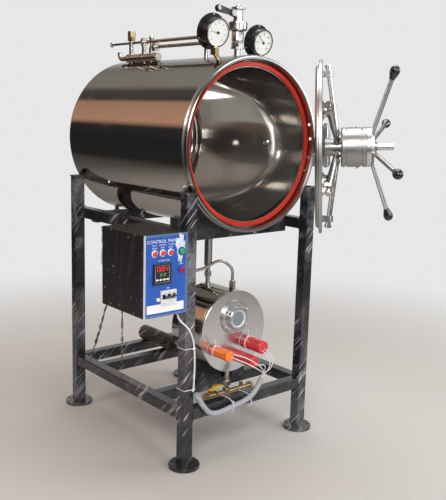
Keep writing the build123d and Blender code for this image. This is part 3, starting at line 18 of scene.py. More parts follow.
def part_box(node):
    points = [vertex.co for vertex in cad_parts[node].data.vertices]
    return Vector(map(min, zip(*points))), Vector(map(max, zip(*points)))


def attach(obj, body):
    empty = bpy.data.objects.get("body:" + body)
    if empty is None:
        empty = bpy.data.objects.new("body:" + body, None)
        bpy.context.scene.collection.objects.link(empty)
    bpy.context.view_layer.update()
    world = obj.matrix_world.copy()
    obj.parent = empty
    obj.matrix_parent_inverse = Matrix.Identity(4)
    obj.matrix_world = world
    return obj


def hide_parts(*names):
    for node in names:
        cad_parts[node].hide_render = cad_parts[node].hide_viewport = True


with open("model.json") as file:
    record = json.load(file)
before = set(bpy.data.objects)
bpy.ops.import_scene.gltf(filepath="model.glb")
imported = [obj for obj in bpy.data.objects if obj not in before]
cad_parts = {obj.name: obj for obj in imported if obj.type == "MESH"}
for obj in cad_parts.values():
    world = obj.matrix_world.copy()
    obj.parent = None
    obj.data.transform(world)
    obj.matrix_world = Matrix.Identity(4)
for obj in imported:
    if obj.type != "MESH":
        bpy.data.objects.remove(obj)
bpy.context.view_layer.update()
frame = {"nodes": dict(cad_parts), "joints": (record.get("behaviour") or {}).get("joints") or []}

bl_info = {
    "name": "Horizontal autoclave finish",
    "version": (1, 0, 0),
    "blender": (4, 5, 0),
    "location": "View3D > Sidebar > Autoclave",
    "description": "Finishes, dials, fasteners, cords and studio of a horizontal autoclave",
    "category": "Object",
}


def span(node):
    """Lowest and highest corner of a node, in metres in the frame."""
    low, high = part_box(node)
    return np.array(low), np.array(high)


ORIGIN = np.array([sum(span("jacket"))[0] / 2, span("door_ring")[0][1], 0.0])


def own(point):
    """A point of the frame, in the object's own millimetres."""
    return (np.asarray(point, float) - ORIGIN) * 1000


def framed(points):
    """Points in the object's own millimetres, in metres in the frame."""
    return np.asarray(points, float) / 1000 + ORIGIN


class Box:
    """Box of a node in the object's own millimetres: its corners, its middle and half its size."""

    def __init__(self, node):
        low, high = span(node)
        self.low, self.high = own(low), own(high)
        self.middle = (self.low + self.high) / 2
        self.half = (self.high - self.low) / 2


# Height of the vessel's axis, radius of the jacket and of the recess in its front ring, and the side and
# the corner radius of the stand's square tube
JACKET = Box("jacket")
AXIS_Z, JACKET_R = JACKET.middle[2], JACKET.half[2]
RIM_R = JACKET_R - 16.0
TUBE, TUBE_CORNER = 38.0, 3.0


# Geometry: surfaces on grids of points, in millimetres


def skin(grid, along=False):
    """Points and quads of a grid whose columns run right round. With along, its last row is also joined
    to the first."""
    rows, columns = grid.shape[:2]
    index = np.arange(rows * columns).reshape(rows, columns)
    if along:
        index = np.vstack([index, index[:1]])
    right = np.roll(index, -1, axis=1)
    quads = np.stack([index[:-1], right[:-1], right[1:], index[1:]], axis=-1)
    return grid.reshape(-1, 3), quads.reshape(-1, 4)


def lathe(profile, segments=24):
    """Surface of revolution about z: an outline point (r, h) at turn a lies at (r cos a, r sin a, h)."""
    outline = np.asarray(profile, float)
    turn = np.linspace(0, 2 * pi, segments, endpoint=False)
    radius, height = outline[:, :1], outline[:, 1:]
    grid = np.stack([radius * np.cos(turn), radius * np.sin(turn), height + 0 * turn], axis=-1)
    return skin(grid)


def frames(path, closed=False):
    """Unit tangents and two normals along a path: the first normal is square to the tangent and to a
    fixed direction that the path never runs along, the second is square to both."""
    path = np.asarray(path, float)
    if closed:
        ahead = np.roll(path, -1, axis=0) - np.roll(path, 1, axis=0)
    else:
        ahead = np.gradient(path, axis=0)
    tangent = ahead / np.linalg.norm(ahead, axis=1, keepdims=True)
    fixed = np.eye(3)[np.argmin(np.abs(tangent).max(axis=0))]
    first = np.cross(tangent, fixed)
    first /= np.linalg.norm(first, axis=1, keepdims=True)
    return tangent, first, np.cross(tangent, first)


def bead(path, radius, sides=8):
    """Round bead along a closed path: its surface is path + radius (cos a, sin a) on the two normals, and
    there is a radius for each point of the path."""
    _, first, second = frames(path, closed=True)
    turn = np.linspace(0, 2 * pi, sides, endpoint=False)
    around = first[:, None] * np.cos(turn)[:, None] + second[:, None] * np.sin(turn)[:, None]
    return skin(path[:, None] + radius[:, None, None] * around, along=True)


def band(path, width, thick, closed=True):
    """Flat strap along a closed or open path: its section is a width by thick rectangle on the two
    normals."""
    path = np.asarray(path, float)
    _, first, second = frames(path, closed)
    corners = np.array([(-1, -1), (1, -1), (1, 1), (-1, 1)]) / 2
    across = first[:, None] * corners[:, :1] * width + second[:, None] * corners[:, 1:] * thick
    return skin(path[:, None] + across, closed)


def rounded_outline(width, height, corner, steps=4):
    """Outline of a rounded rectangle about the origin: a quarter circle at each corner."""
    quarter = np.linspace(0, pi / 2, steps + 1)
    turn = np.concatenate([quarter + k * pi / 2 for k in range(4)])
    signs = np.repeat(np.array([(1, 1), (-1, 1), (-1, -1), (1, -1)]), steps + 1, axis=0)
    middle = signs * np.array([width / 2 - corner, height / 2 - corner])
    return middle + corner * np.stack([np.cos(turn), np.sin(turn)], axis=-1)


def slab(width, height, thick, corner, bevel=0.3):
    """Rounded block on z = 0: rows of rounded rectangles, drawn in by the bevel at the top and closed."""
    rows = [(0, 0), (1, 0), (1, thick - bevel), (1 - 2 * bevel / width, thick), (0, thick)]
    outline = rounded_outline(width, height, corner)
    grid = np.stack([np.column_stack([outline * share, np.full(len(outline), z)]) for share, z in rows])
    return skin(grid)


def bar_between(start, end, width, thick):
    """Straight flat bar from one point to another: a strap of two sections with its ends closed."""
    start, end = np.asarray(start, float), np.asarray(end, float)
    path = start + np.linspace(0, 1, 2)[:, None] * (end - start)
    points, quads = band(path, width, thick, closed=False)
    ends = np.array([(3, 2, 1, 0), (4, 5, 6, 7)])
    return points, np.concatenate([quads, ends])


def turn_to(direction, spin=0.0):
    """Rotation that takes z to a direction, after a spin about z."""
    towards = Vector(direction).normalized()
    turn = towards.to_track_quat("Z", "Y").to_matrix() @ Matrix.Rotation(spin, 3, "Z")
    return np.array(turn)


def set_at(shape, place, direction=(0, 0, 1), spin=0.0):
    """A shape made about z, turned to a direction and moved to a place."""
    points, quads = shape
    return points @ turn_to(direction, spin).T + np.asarray(place, float), quads


def set_flat(shape, place):
    """A shape drawn with x across, y up and z out, set upright to face the front."""
    points, quads = shape
    upright = np.stack([points[:, 0], -points[:, 2], points[:, 1]], axis=-1)
    return upright + np.asarray(place, float), quads


def ray(angle, radius):
    """Offset in the upright plane that faces the front, at an angle in degrees from +x."""
    turn = radians(angle)
    return np.array([radius * cos(turn), 0.0, radius * sin(turn)])


def loft(rows):
    """Closed solid through sections: a skin over the rows, with each end drawn in to its middle."""
    ends = rows[[0, -1]].mean(axis=1, keepdims=True) + 0 * rows[[0, -1]]
    return skin(np.concatenate([ends[:1], rows, ends[1:]]))


def disc(radius, height, segments=20):
    """Plain round disc or pin: a rectangle turned about one side."""
    return lathe([(0, 0), (radius, 0), (radius, height), (0, height)], segments)


def hex_head(across, height):
    """Hexagonal head whose top corners are turned off: a lathe with six sides."""
    radius = across / sqrt(3)
    return lathe([(0, 0), (radius, 0), (radius, 0.8 * height), (0.86 * radius, height), (0, height)], 6)


def dome_head(radius, height):
    """Round screw head: a flat quarter ellipse turned about its axis."""
    rise = np.linspace(0, pi / 2, 5)
    curve = list(zip(radius * np.cos(rise), height * np.sin(rise)))
    return lathe([(0, 0)] + curve[:-1] + [(0, height)], 16)


def bolt(across, height):
    """Hexagonal bolt head on a washer."""
    points, quads = hex_head(across, height)
    lifted = points + np.array([0, 0, height / 4])
    return merged([disc(0.75 * across, height / 4), (lifted, quads)])


def merged(shapes):
    """Several shapes as one."""
    starts = np.cumsum([0] + [len(points) for points, _ in shapes[:-1]])
    quads = [faces + start for (_, faces), start in zip(shapes, starts)]
    return np.concatenate([points for points, _ in shapes]), np.concatenate(quads)


def add_piece(name, data, body):
    """Object of a mesh or curve that stands at the scene's origin and rides on a body."""
    piece = bpy.data.objects.new(name, data)
    bpy.context.scene.collection.objects.link(piece)
    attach(piece, body)
    return piece


def make_piece(name, shapes, look, body="autoclave", turn=None, crease=35):
    """Mesh piece of several shapes with one finish, in the frame. Edges sharper than the crease, in
    degrees, stay sharp."""
    points, quads = merged(shapes)
    mesh = bpy.data.meshes.new(name)
    mesh.from_pydata(framed(points).tolist(), [], quads.tolist())
    if turn is not None:
        mesh.transform(turn)
    work = bmesh.new()
    work.from_mesh(mesh)
    bmesh.ops.remove_doubles(work, verts=work.verts, dist=1e-6)
    work.to_mesh(mesh)
    work.free()
    mesh.materials.append(finish(look))
    mesh.shade_smooth()
    mesh.set_sharp_from_angle(angle=radians(crease))
    return add_piece(name, mesh, body)


def door_turn():
    """Turn of the door from shut to its rest place, about its hinge."""
    hinge = next(entry for entry in frame["joints"] if entry["name"] == "door_hinge")
    place = Matrix.Translation(Vector(hinge["pos_m"]))
    angle = -radians(hinge["range_deg"][0])
    return place @ Matrix.Rotation(angle, 4, Vector(hinge["axis"])) @ place.inverted()


# Shader maths


class Wire:
    """A socket in a node tree. The usual operators on it add Math nodes."""

    def __init__(self, recipe, socket):
        self.recipe = recipe
        self.socket = socket

    def maths(self, operation, *values):
        return self.recipe.node("ShaderNodeMath", {"operation": operation}, dict(enumerate(values)))

    def __add__(self, other):
        return self.maths("ADD", self, other)

    def __sub__(self, other):
        return self.maths("SUBTRACT", self, other)

    def __rsub__(self, other):
        return self.maths("SUBTRACT", other, self)

    def __mul__(self, other):
        return self.maths("MULTIPLY", self, other)

    def __truediv__(self, other):
        return self.maths("DIVIDE", self, other)

    def __rtruediv__(self, other):
        return self.maths("DIVIDE", other, self)

    def __pow__(self, other):
        return self.maths("POWER", self, other)

    def __lt__(self, other):
        return self.maths("LESS_THAN", self, other)

    def __or__(self, other):
        return self.maths("MAXIMUM", self, other)

    def __and__(self, other):
        return self.maths("MINIMUM", self, other)

    __radd__ = __add__
    __rmul__ = __mul__


class Recipe:
    """The node tree of one material or world, with short ways to add its nodes."""

    def __init__(self, owner):
        owner.use_nodes = True
        self.owner = owner
        self.tree = owner.node_tree
        self.tree.nodes.clear()

    def node(self, kind, settings=None, values=None, output=0):
        """Any node: its settings, a ramp's stops among them, go first, then its values or links."""
        made = self.tree.nodes.new(kind)
        for name, value in (settings or {}).items():
            if name == "stops":
                self.fill_ramp(made.color_ramp, value)
            else:
                setattr(made, name, value)
        for name, value in (values or {}).items():
            if isinstance(value, Wire):
                self.tree.links.new(value.socket, made.inputs[name])
            else:
                made.inputs[name].default_value = value
        return Wire(self, made.outputs[output]) if len(made.outputs) else made

    def fill_ramp(self, ramp, stops):
        """Colour stops as (place, colour) pairs."""
        while len(ramp.elements) < len(stops):
            ramp.elements.new(1.0)
        for element, (place, colour) in zip(ramp.elements, stops):
            element.position = place
            element.color = (*colour, 1.0) if len(colour) == 3 else colour

    def place(self, turn=(0, 0, 0), stretch=(1, 1, 1)):
        """Object coordinates seen from axes that are turned, and then scaled along those axes."""
        coordinates = self.node("ShaderNodeTexCoord", output="Object")
        return self.node("ShaderNodeMapping", {"vector_type": "TEXTURE"}, {
            "Vector": coordinates, "Rotation": turn, "Scale": tuple(1 / value for value in stretch),
        })

    def axes(self, kind="Object"):
        """The x, y and z of the object coordinates, or of another kind."""
        coordinates = self.node("ShaderNodeTexCoord", output=kind)
        split = self.node("ShaderNodeSeparateXYZ", None, {"Vector": coordinates})
        outputs = split.socket.node.outputs
        return [Wire(self, outputs[index]) for index in range(3)]

    def join(self, x, y=0.0):
        """Vector of two values."""
        return self.node("ShaderNodeCombineXYZ", None, {"X": x, "Y": y})

    def noise(self, scale, detail=3.0, rough=0.55, twist=0.0, vector=None):
        """Noise between about 0.25 and 0.75."""
        values = {"Scale": scale, "Detail": detail, "Roughness": rough, "Distortion": twist}
        values["Vector"] = vector or self.place()
        return self.node("ShaderNodeTexNoise", None, values)

    def step(self, value, low, high, start=0.0, end=1.0):
        """Smooth step from start to end while value goes from low to high."""
        return self.node("ShaderNodeMapRange", {"interpolation_type": "SMOOTHSTEP"}, {
            "Value": value, "From Min": low, "From Max": high, "To Min": start, "To Max": end,
        })

    def mix(self, factor, first, second):
        """Mix of two colours."""
        colours = [value if isinstance(value, Wire) else (*value[:3], 1.0) for value in (first, second)]
        return self.node("ShaderNodeMix", {"data_type": "RGBA"}, {
            0: factor, 6: colours[0], 7: colours[1],
        }, 2)

    def bump(self, height, distance, strength=1.0):
        """Normal from a height."""
        return self.node("ShaderNodeBump", None, {
            "Height": height, "Distance": distance, "Strength": strength,
        })

    def finish(self, values):
        """Principled surface with these values, joined to the output."""
        values = {name: (*value, 1.0) if isinstance(value, tuple) and len(value) == 3 else value
                  for name, value in values.items()}
        surface = self.node("ShaderNodeBsdfPrincipled", None, values)
        self.node("ShaderNodeOutputMaterial", None, {"Surface": surface})
        return self.owner


def recipe(name):
    """An empty recipe for a new material."""
    return Recipe(bpy.data.materials.new(name))


# Finishes

# Tint of steel seen at a grazing angle, tarnish on brass, and how far below a gauge's case its nickel
# bend begins
EDGE_TINT = (0.6, 0.6, 0.6)
BRASS_TARNISH = (0.26, 0.2, 0.13)
KNEE_BELOW_GAUGE = 20.5


def darker(colour, share):
    """A colour with only a share of its light."""
    return tuple(value * share for value in colour)


def mirror_steel(name, tint, stretch, rough=(0.05, 0.17), wave=0.0004, metal=1.0):
    """Polished stainless steel: fine lines one way, smudges that dull it and a slight waviness."""
    r = recipe(name)
    lines = r.noise(1.0, 2.0, 0.6, 0.0, r.place(stretch=stretch))
    smudge = r.step(r.noise(7.0, 5.0, 0.62, 0.6), 0.46, 0.72)
    haze = r.noise(2.3, 2.0)
    colour = r.mix(haze * 0.7, tint, darker(tint, 0.86))
    colour = r.mix(smudge * 0.3, colour, (0.5, 0.46, 0.42))
    dull = r.step(smudge * 0.6 + lines * 0.5, 0.2, 0.8, rough[0], rough[1])
    swell = r.noise(3.2, 1.0) * wave + lines * 0.000012
    return r.finish({
        "Base Color": colour, "Metallic": metal, "Roughness": dull, "Normal": r.bump(swell, 1.0, 0.8),
        "Specular Tint": EDGE_TINT,
    })


def brushed_steel(name, tint, stretch, rough=(0.22, 0.38)):
    """Satin stainless steel with plain brush lines and a few darker marks."""
    r = recipe(name)
    lines = r.noise(1.0, 3.0, 0.7, 0.0, r.place(stretch=stretch))
    marks = r.step(r.noise(11.0, 4.0, 0.6, 1.0), 0.56, 0.74)
    colour = r.mix(lines, tint, darker(tint, 0.74))
    colour = r.mix(marks * 0.35, colour, (0.34, 0.31, 0.28))
    return r.finish({
        "Base Color": colour, "Metallic": 1.0, "Roughness": r.step(lines, 0.3, 0.7, *rough),
        "Normal": r.bump(lines, 0.00006, 0.6), "Specular Tint": EDGE_TINT,
    })


def round_polish(name, tint, node, rough=(0.2, 0.36)):
    """Steel turned on a lathe about the y axis through a node: fine rings and a soft sheen."""
    middle = sum(span(node)) / 2
    r = recipe(name)
    x, _, z = r.axes()
    across = x - float(middle[0])
    above = z - float(middle[2])
    radius = (across * across + above * above) ** 0.5
    lines = r.noise(1.0, 2.0, 0.6, 0.0, r.join(radius * 900.0))
    cloud = r.noise(9.0, 4.0, 0.6, 0.8)
    colour = r.mix(lines * 0.5 + cloud * 0.4, tint, darker(tint, 0.72))
    return r.finish({
        "Base Color": colour, "Metallic": 1.0, "Roughness": r.step(cloud, 0.3, 0.7, *rough),
        "Normal": r.bump(lines, 0.00005, 0.6),
    })


def wrapped_paint(name, colours, slope, haze, gloss=(0.22, 0.5), coat=0.2):
    """Black paint under thin clear film wound round it: pale creases that climb at one slope on every side,
    thin ones and broad ones in bunches, and a milky haze that is stronger higher up. The pale creases and
    haze are partly the film's own whitened folds and partly painted highlight on them. Across a crease the
    distance is z - slope (x - y)."""
    r = recipe(name)
    x, y, z = r.axes()
    across = z - (x - y) * slope
    along = x - y + z * slope
    crease = r.noise(1.0, 1.0, 0.5, 0.25, r.join(across * 150.0, along * 6.0))
    broad = r.noise(1.0, 1.0, 0.5, 0.5, r.join(across * 60.0, along * 4.0))
    fine = r.noise(1.0, 2.0, 0.6, 0.0, r.join(across * 420.0, along * 18.0))
    bunches = r.step(r.noise(6.5, 2.0, 0.6, 0.4), 0.46, 0.58)
    sharp = r.step(crease, 0.6, 0.76) * (bunches * 0.85 + 0.15) * 0.85
    wide = r.step(broad, 0.56, 0.74) * bunches * r.step(fine, 0.34, 0.6, 0.25, 1.0) * 0.9
    cloud = r.noise(6.0, 4.0, 0.65, 0.5)
    height = r.step(z, 0.3, 0.75, 0.35, 1.0)
    milky = r.step(cloud, 0.44, 0.66) * r.step(fine, 0.3, 0.7, 0.35, 1.0) * height * haze
    dust = r.step(r.noise(24.0, 5.0, 0.7), 0.5, 0.8) * 0.08
    film_dust_and_painted_highlight = sharp | wide | milky | dust
    # Pale creases and haze: partly the film's own whitened folds, partly painted highlight on them
    colour = r.mix(film_dust_and_painted_highlight, colours.paint, colours.film)
    return r.finish({
        "Base Color": colour, "Roughness": r.step(film_dust_and_painted_highlight, 0.0, 1.0, *gloss),
        "Normal": r.bump(crease * 0.5 + broad * 0.4 + fine * 0.1, 0.001, 0.8),
        "Coat Weight": coat, "Coat Roughness": 0.16,
    })


def wrapped_sheet(name, colours):
    """Dark powder-coated sheet under film, with a bare light edge on one side of the panel."""
    front_y = float(span("control_box")[0][1])
    panel_x = float(span("control_panel")[0][0])
    r = recipe(name)
    x, y, _ = r.axes()
    smear = r.step(r.noise(1.0, 4.0, 0.65, 0.4, r.place((0.12, 0.0, 0.0), (60.0, 46.0, 3.2))), 0.48, 0.72)
    specks = r.step(r.noise(60.0, 2.0, 0.5), 0.68, 0.74)
    cloud = r.noise(5.0, 3.0)
    body = r.mix(cloud * 0.8, colours.box, darker(colours.box, 0.45))
    body = r.mix(smear * 0.12, body, (0.16, 0.16, 0.16))
    body = r.mix(specks * 0.6, body, (0.34, 0.34, 0.33))
    front = y < front_y + 0.0016
    side = x < panel_x
    edge = r.mix(side, (0.1, 0.18, 0.36), (0.5, 0.54, 0.6))
    colour = r.mix(front, body, edge)
    return r.finish({
        "Base Color": colour, "Roughness": r.step(smear, 0.0, 1.0, 0.36, 0.55),
        "Normal": r.bump(smear * 0.2 + cloud, 0.0005, 0.5), "Specular IOR Level": 0.4,
    })


def soft_rubber(name, colour, dark):
    """Silicone rubber with faint clouding and a fine grain."""
    r = recipe(name)
    cloud = r.noise(18.0, 3.0, 0.6)
    grain = r.noise(420.0, 2.0, 0.5)
    return r.finish({
        "Base Color": r.mix(cloud, colour, dark), "Roughness": r.step(cloud, 0.3, 0.7, 0.34, 0.5),
        "Normal": r.bump(grain, 0.0001, 0.4), "Specular IOR Level": 0.45,
    })


def cap_rubber(name, colours):
    """Rubber of the heater caps: glossy red, and orange on the left one, which reddens near the plate."""
    low, high = span("heater_caps")
    r = recipe(name)
    x, y, _ = r.axes()
    left = x < float(low[0] + 0.05)
    back = r.step(y, float(high[1] - 0.04), float(high[1] - 0.01))
    cloud = r.noise(30.0, 3.0, 0.6)
    red = r.mix(cloud, colours.cap_red, darker(colours.cap_red, 0.7))
    orange = r.mix(back, colours.cap_orange, (0.8, 0.1, 0.03))
    colour = r.mix(left, red, orange)
    return r.finish({
        "Base Color": colour, "Roughness": r.step(cloud, 0.3, 0.7, 0.2, 0.34),
        "Normal": r.bump(cloud, 0.0005, 0.4), "Coat Weight": 0.5, "Coat Roughness": 0.12,
    })


def plated(name, tint, tarnish, rough=(0.16, 0.36), below=None):
    """Plated or cast fitting with a little tarnish and uneven gloss. Below a height in the object's own
    millimetres it may have another tint, given as (height, tint)."""
    r = recipe(name)
    cloud = r.step(r.noise(38.0, 5.0, 0.65, 0.5), 0.42, 0.7)
    grain = r.noise(260.0, 3.0)
    colour = r.mix(cloud, tint, tarnish)
    if below is not None:
        _, _, z = r.axes()
        colour = r.mix(z < float(below[0] / 1000), colour, below[1])
    return r.finish({
        "Base Color": colour, "Metallic": 1.0, "Roughness": r.step(cloud, 0.0, 1.0, *rough),
        "Normal": r.bump(grain, 0.00012, 0.5),
    })


def moulded(name, colour, rough=0.3, coat=0.4):
    """Moulded plastic or phenolic with faint dust and a fine grain."""
    r = recipe(name)
    dust = r.step(r.noise(46.0, 4.0, 0.7), 0.5, 0.8)
    shade = tuple(value * 0.78 + 0.02 for value in colour)
    return r.finish({
        "Base Color": r.mix(dust, colour, shade), "Roughness": r.step(dust, 0.0, 1.0, rough, rough + 0.16),
        "Normal": r.bump(r.noise(500.0, 2.0), 0.00006, 0.4), "Coat Weight": coat, "Coat Roughness": 0.15,
    })


def printed_panel(name, colours):
    """Blue printed panel with slightly uneven ink and a satin skin."""
    r = recipe(name)
    cloud = r.noise(16.0, 4.0, 0.6, 0.6)
    fine = r.noise(180.0, 2.0)
    blue = colours.panel
    colour = r.mix(r.step(cloud, 0.35, 0.7), blue, darker(blue, 0.72))
    return r.finish({
        "Base Color": colour, "Roughness": r.step(cloud, 0.3, 0.7, 0.28, 0.42),
        "Normal": r.bump(fine, 0.00005, 0.4), "Coat Weight": 0.3, "Coat Roughness": 0.2,
    })


def lamp_lens(name):
    """Lamp lenses in warm red, with the small white fuse cap low on the panel."""
    low, _ = span("lamps")
    r = recipe(name)
    _, _, z = r.axes()
    cloud = r.noise(70.0, 2.0)
    red = r.mix(cloud, (0.8, 0.07, 0.03), (0.6, 0.03, 0.02))
    return r.finish({
        "Base Color": r.mix(z < float(low[2] + 0.03), red, (0.8, 0.8, 0.78)),
        "Roughness": r.step(cloud, 0.3, 0.7, 0.12, 0.22), "Coat Weight": 0.7, "Coat Roughness": 0.06,
    })


def clear_glass(name, tint, seen):
    """Clear cover: glossy, and mostly see-through."""
    r = recipe(name)
    smear = r.noise(24.0, 3.0)
    return r.finish({
        "Base Color": tint, "Roughness": r.step(smear, 0.3, 0.7, 0.04, 0.12), "Alpha": seen,
        "Specular IOR Level": 0.7,
    })


def glowing(name, colour, strength):
    """Lit display figure."""
    r = recipe(name)
    cloud = r.noise(200.0, 1.0)
    lit = r.mix(cloud * 0.4, colour, darker(colour, 0.7))
    return r.finish({
        "Base Color": colour, "Emission Color": lit, "Emission Strength": strength, "Roughness": 0.4,
    })


def woven_sleeve(name, colour, dark, pitch):
    """Grey spiral sleeve: slanting ridges, darker in the grooves between them."""
    r = recipe(name)
    ridge = r.node("ShaderNodeTexWave", {"wave_type": "BANDS", "bands_direction": "DIAGONAL"}, {
        "Vector": r.place(), "Scale": pitch, "Distortion": 1.2, "Detail": 1.0,
    }, 1)
    cloud = r.noise(40.0, 4.0)
    return r.finish({
        # Darker where the ridges' bump is low, in the grooves
        "Base Color": r.mix(ridge * 0.5 + cloud * 0.4, dark, colour),
        "Roughness": r.step(cloud, 0.3, 0.7, 0.45, 0.62), "Normal": r.bump(ridge, 0.0006, 0.6),
    })


# Settings


def colour_setting(name, what, value):
    """A colour property."""
    return bpy.props.FloatVectorProperty(
        name=name, description=what, subtype="COLOR", size=3, min=0.0, max=1.0, default=value)


def length_setting(name, what, value):
    """A length property, in millimetres of the object."""
    return bpy.props.FloatProperty(name=name, description=what, default=value, min=0.0, unit="NONE")


class AutoclaveColours(bpy.types.PropertyGroup):
    """Colours of the finishes."""

    steel: colour_setting("Steel", "Polished stainless steel", (0.5, 0.48, 0.455))
    satin: colour_setting("Satin steel", "Satin stainless steel of the door", (0.55, 0.54, 0.53))
    plate: colour_setting("Boiler plate", "Satin front plate of the boiler", (0.74, 0.74, 0.75))
    nickel: colour_setting("Nickel", "Nickel-plated pipework", (0.6, 0.58, 0.55))
    brass: colour_setting("Brass", "Brass fittings", (0.5, 0.37, 0.2))
    rubber: colour_setting("Gasket", "Red silicone gasket", (0.78, 0.05, 0.02))
    cap_red: colour_setting("Red cap", "Red heater caps", (0.72, 0.025, 0.035))
    cap_orange: colour_setting("Orange cap", "Orange end of the left heater cap", (0.95, 0.2, 0.01))
    paint: colour_setting("Stand paint", "Black paint of the stand", (0.012, 0.013, 0.018))
    # Pale film creases on the stand: partly the film's own whiteness, partly painted highlight
    film: colour_setting("Film smears", "Pale smears of the film on the stand", (0.58, 0.58, 0.61))
    box: colour_setting("Control box", "Powder coat of the control box", (0.022, 0.022, 0.023))
    panel: colour_setting("Panel", "Blue printed panel", (0.02, 0.11, 0.5))
    handle: colour_setting("Drain handle", "Yellow dipped handle", (0.8, 0.5, 0.03))
    sleeve: colour_setting("Sleeve", "Grey sleeve of the heater leads", (0.46, 0.5, 0.54))
    lead: colour_setting("Leads", "White leads and ties", (0.82, 0.83, 0.84))


class AutoclaveFasteners(bpy.types.PropertyGroup):
    """Sizes of the fasteners, welds and ties, in millimetres."""

    rim_bolt: length_setting("Rim bolt", "Across the flats of the bolts in the rim", 11.0)
    stud_nut: length_setting("Stud nut", "Across the flats of the nuts on the sight glass", 11.0)
    guide_bolt: length_setting("Guide bolt", "Across the flats of the bolts in the guides' feet", 7.0)
    strap_bolt: length_setting("Strap bolt", "Across the flats of the bolts in the hinge strap", 13.0)
    box_screw: length_setting("Box screw", "Radius of the screws of the control box", 3.6)
    weld: length_setting("Weld", "Radius of the weld beads", 2.6)
    weld_pitch: length_setting("Weld pitch", "Length of one ripple of a weld", 4.0)
    tie_width: length_setting("Tie width", "Width of the cable ties", 4.2)
    tie_thick: length_setting("Tie thickness", "Thickness of the cable ties", 1.4)


class AutoclaveDials(bpy.types.PropertyGroup):
    """Sizes on the gauge faces and the control panel, in millimetres."""

    long_tick: length_setting("Long tick", "Length of the numbered ticks", 5.0)
    short_tick: length_setting("Short tick", "Length of the fine ticks", 2.6)
    figure: length_setting("Figure", "Height of the dial figures", 5.6)
    heading: length_setting("Heading", "Height of the panel's heading", 10.5)
    label: length_setting("Label", "Height of the panel's small labels", 4.4)
    digit: length_setting("Digit", "Height of the red display digits", 13.0)


def power_setting(which, value):
    """The power of a lamp, in watts."""
    return bpy.props.FloatProperty(
        name=f"{which} lamp", description=f"Power of the {which.lower()} lamp", default=value,
        subtype="POWER")


class AutoclaveStudio(bpy.types.PropertyGroup):
    """Camera, lamps and floor."""

    lens: bpy.props.FloatProperty(
        name="Lens", description="Focal length for a 36 mm high sensor", default=53.345,
        subtype="DISTANCE_CAMERA")
    floor: colour_setting("Floor", "Pale floor", (0.56, 0.545, 0.53))
    backdrop: colour_setting("Backdrop", "Pale background", (0.8, 0.8, 0.8))
    key: power_setting("Key", 70.0)
    front: power_setting("Front", 32.0)
    fill: power_setting("Fill", 26.0)
    top: power_setting("Top", 60.0)


def settings():
    """The four groups of settings of the scene."""
    scene = bpy.context.scene
    return (scene.autoclave_colours, scene.autoclave_fasteners, scene.autoclave_dials,
            scene.autoclave_studio)


FINISHES = {}


def finish(name):
    """A finish by name. All are made the first time that one is asked for."""
    if not FINISHES:
        FINISHES.update(make_finishes(settings()[0]))
    return FINISHES[name]


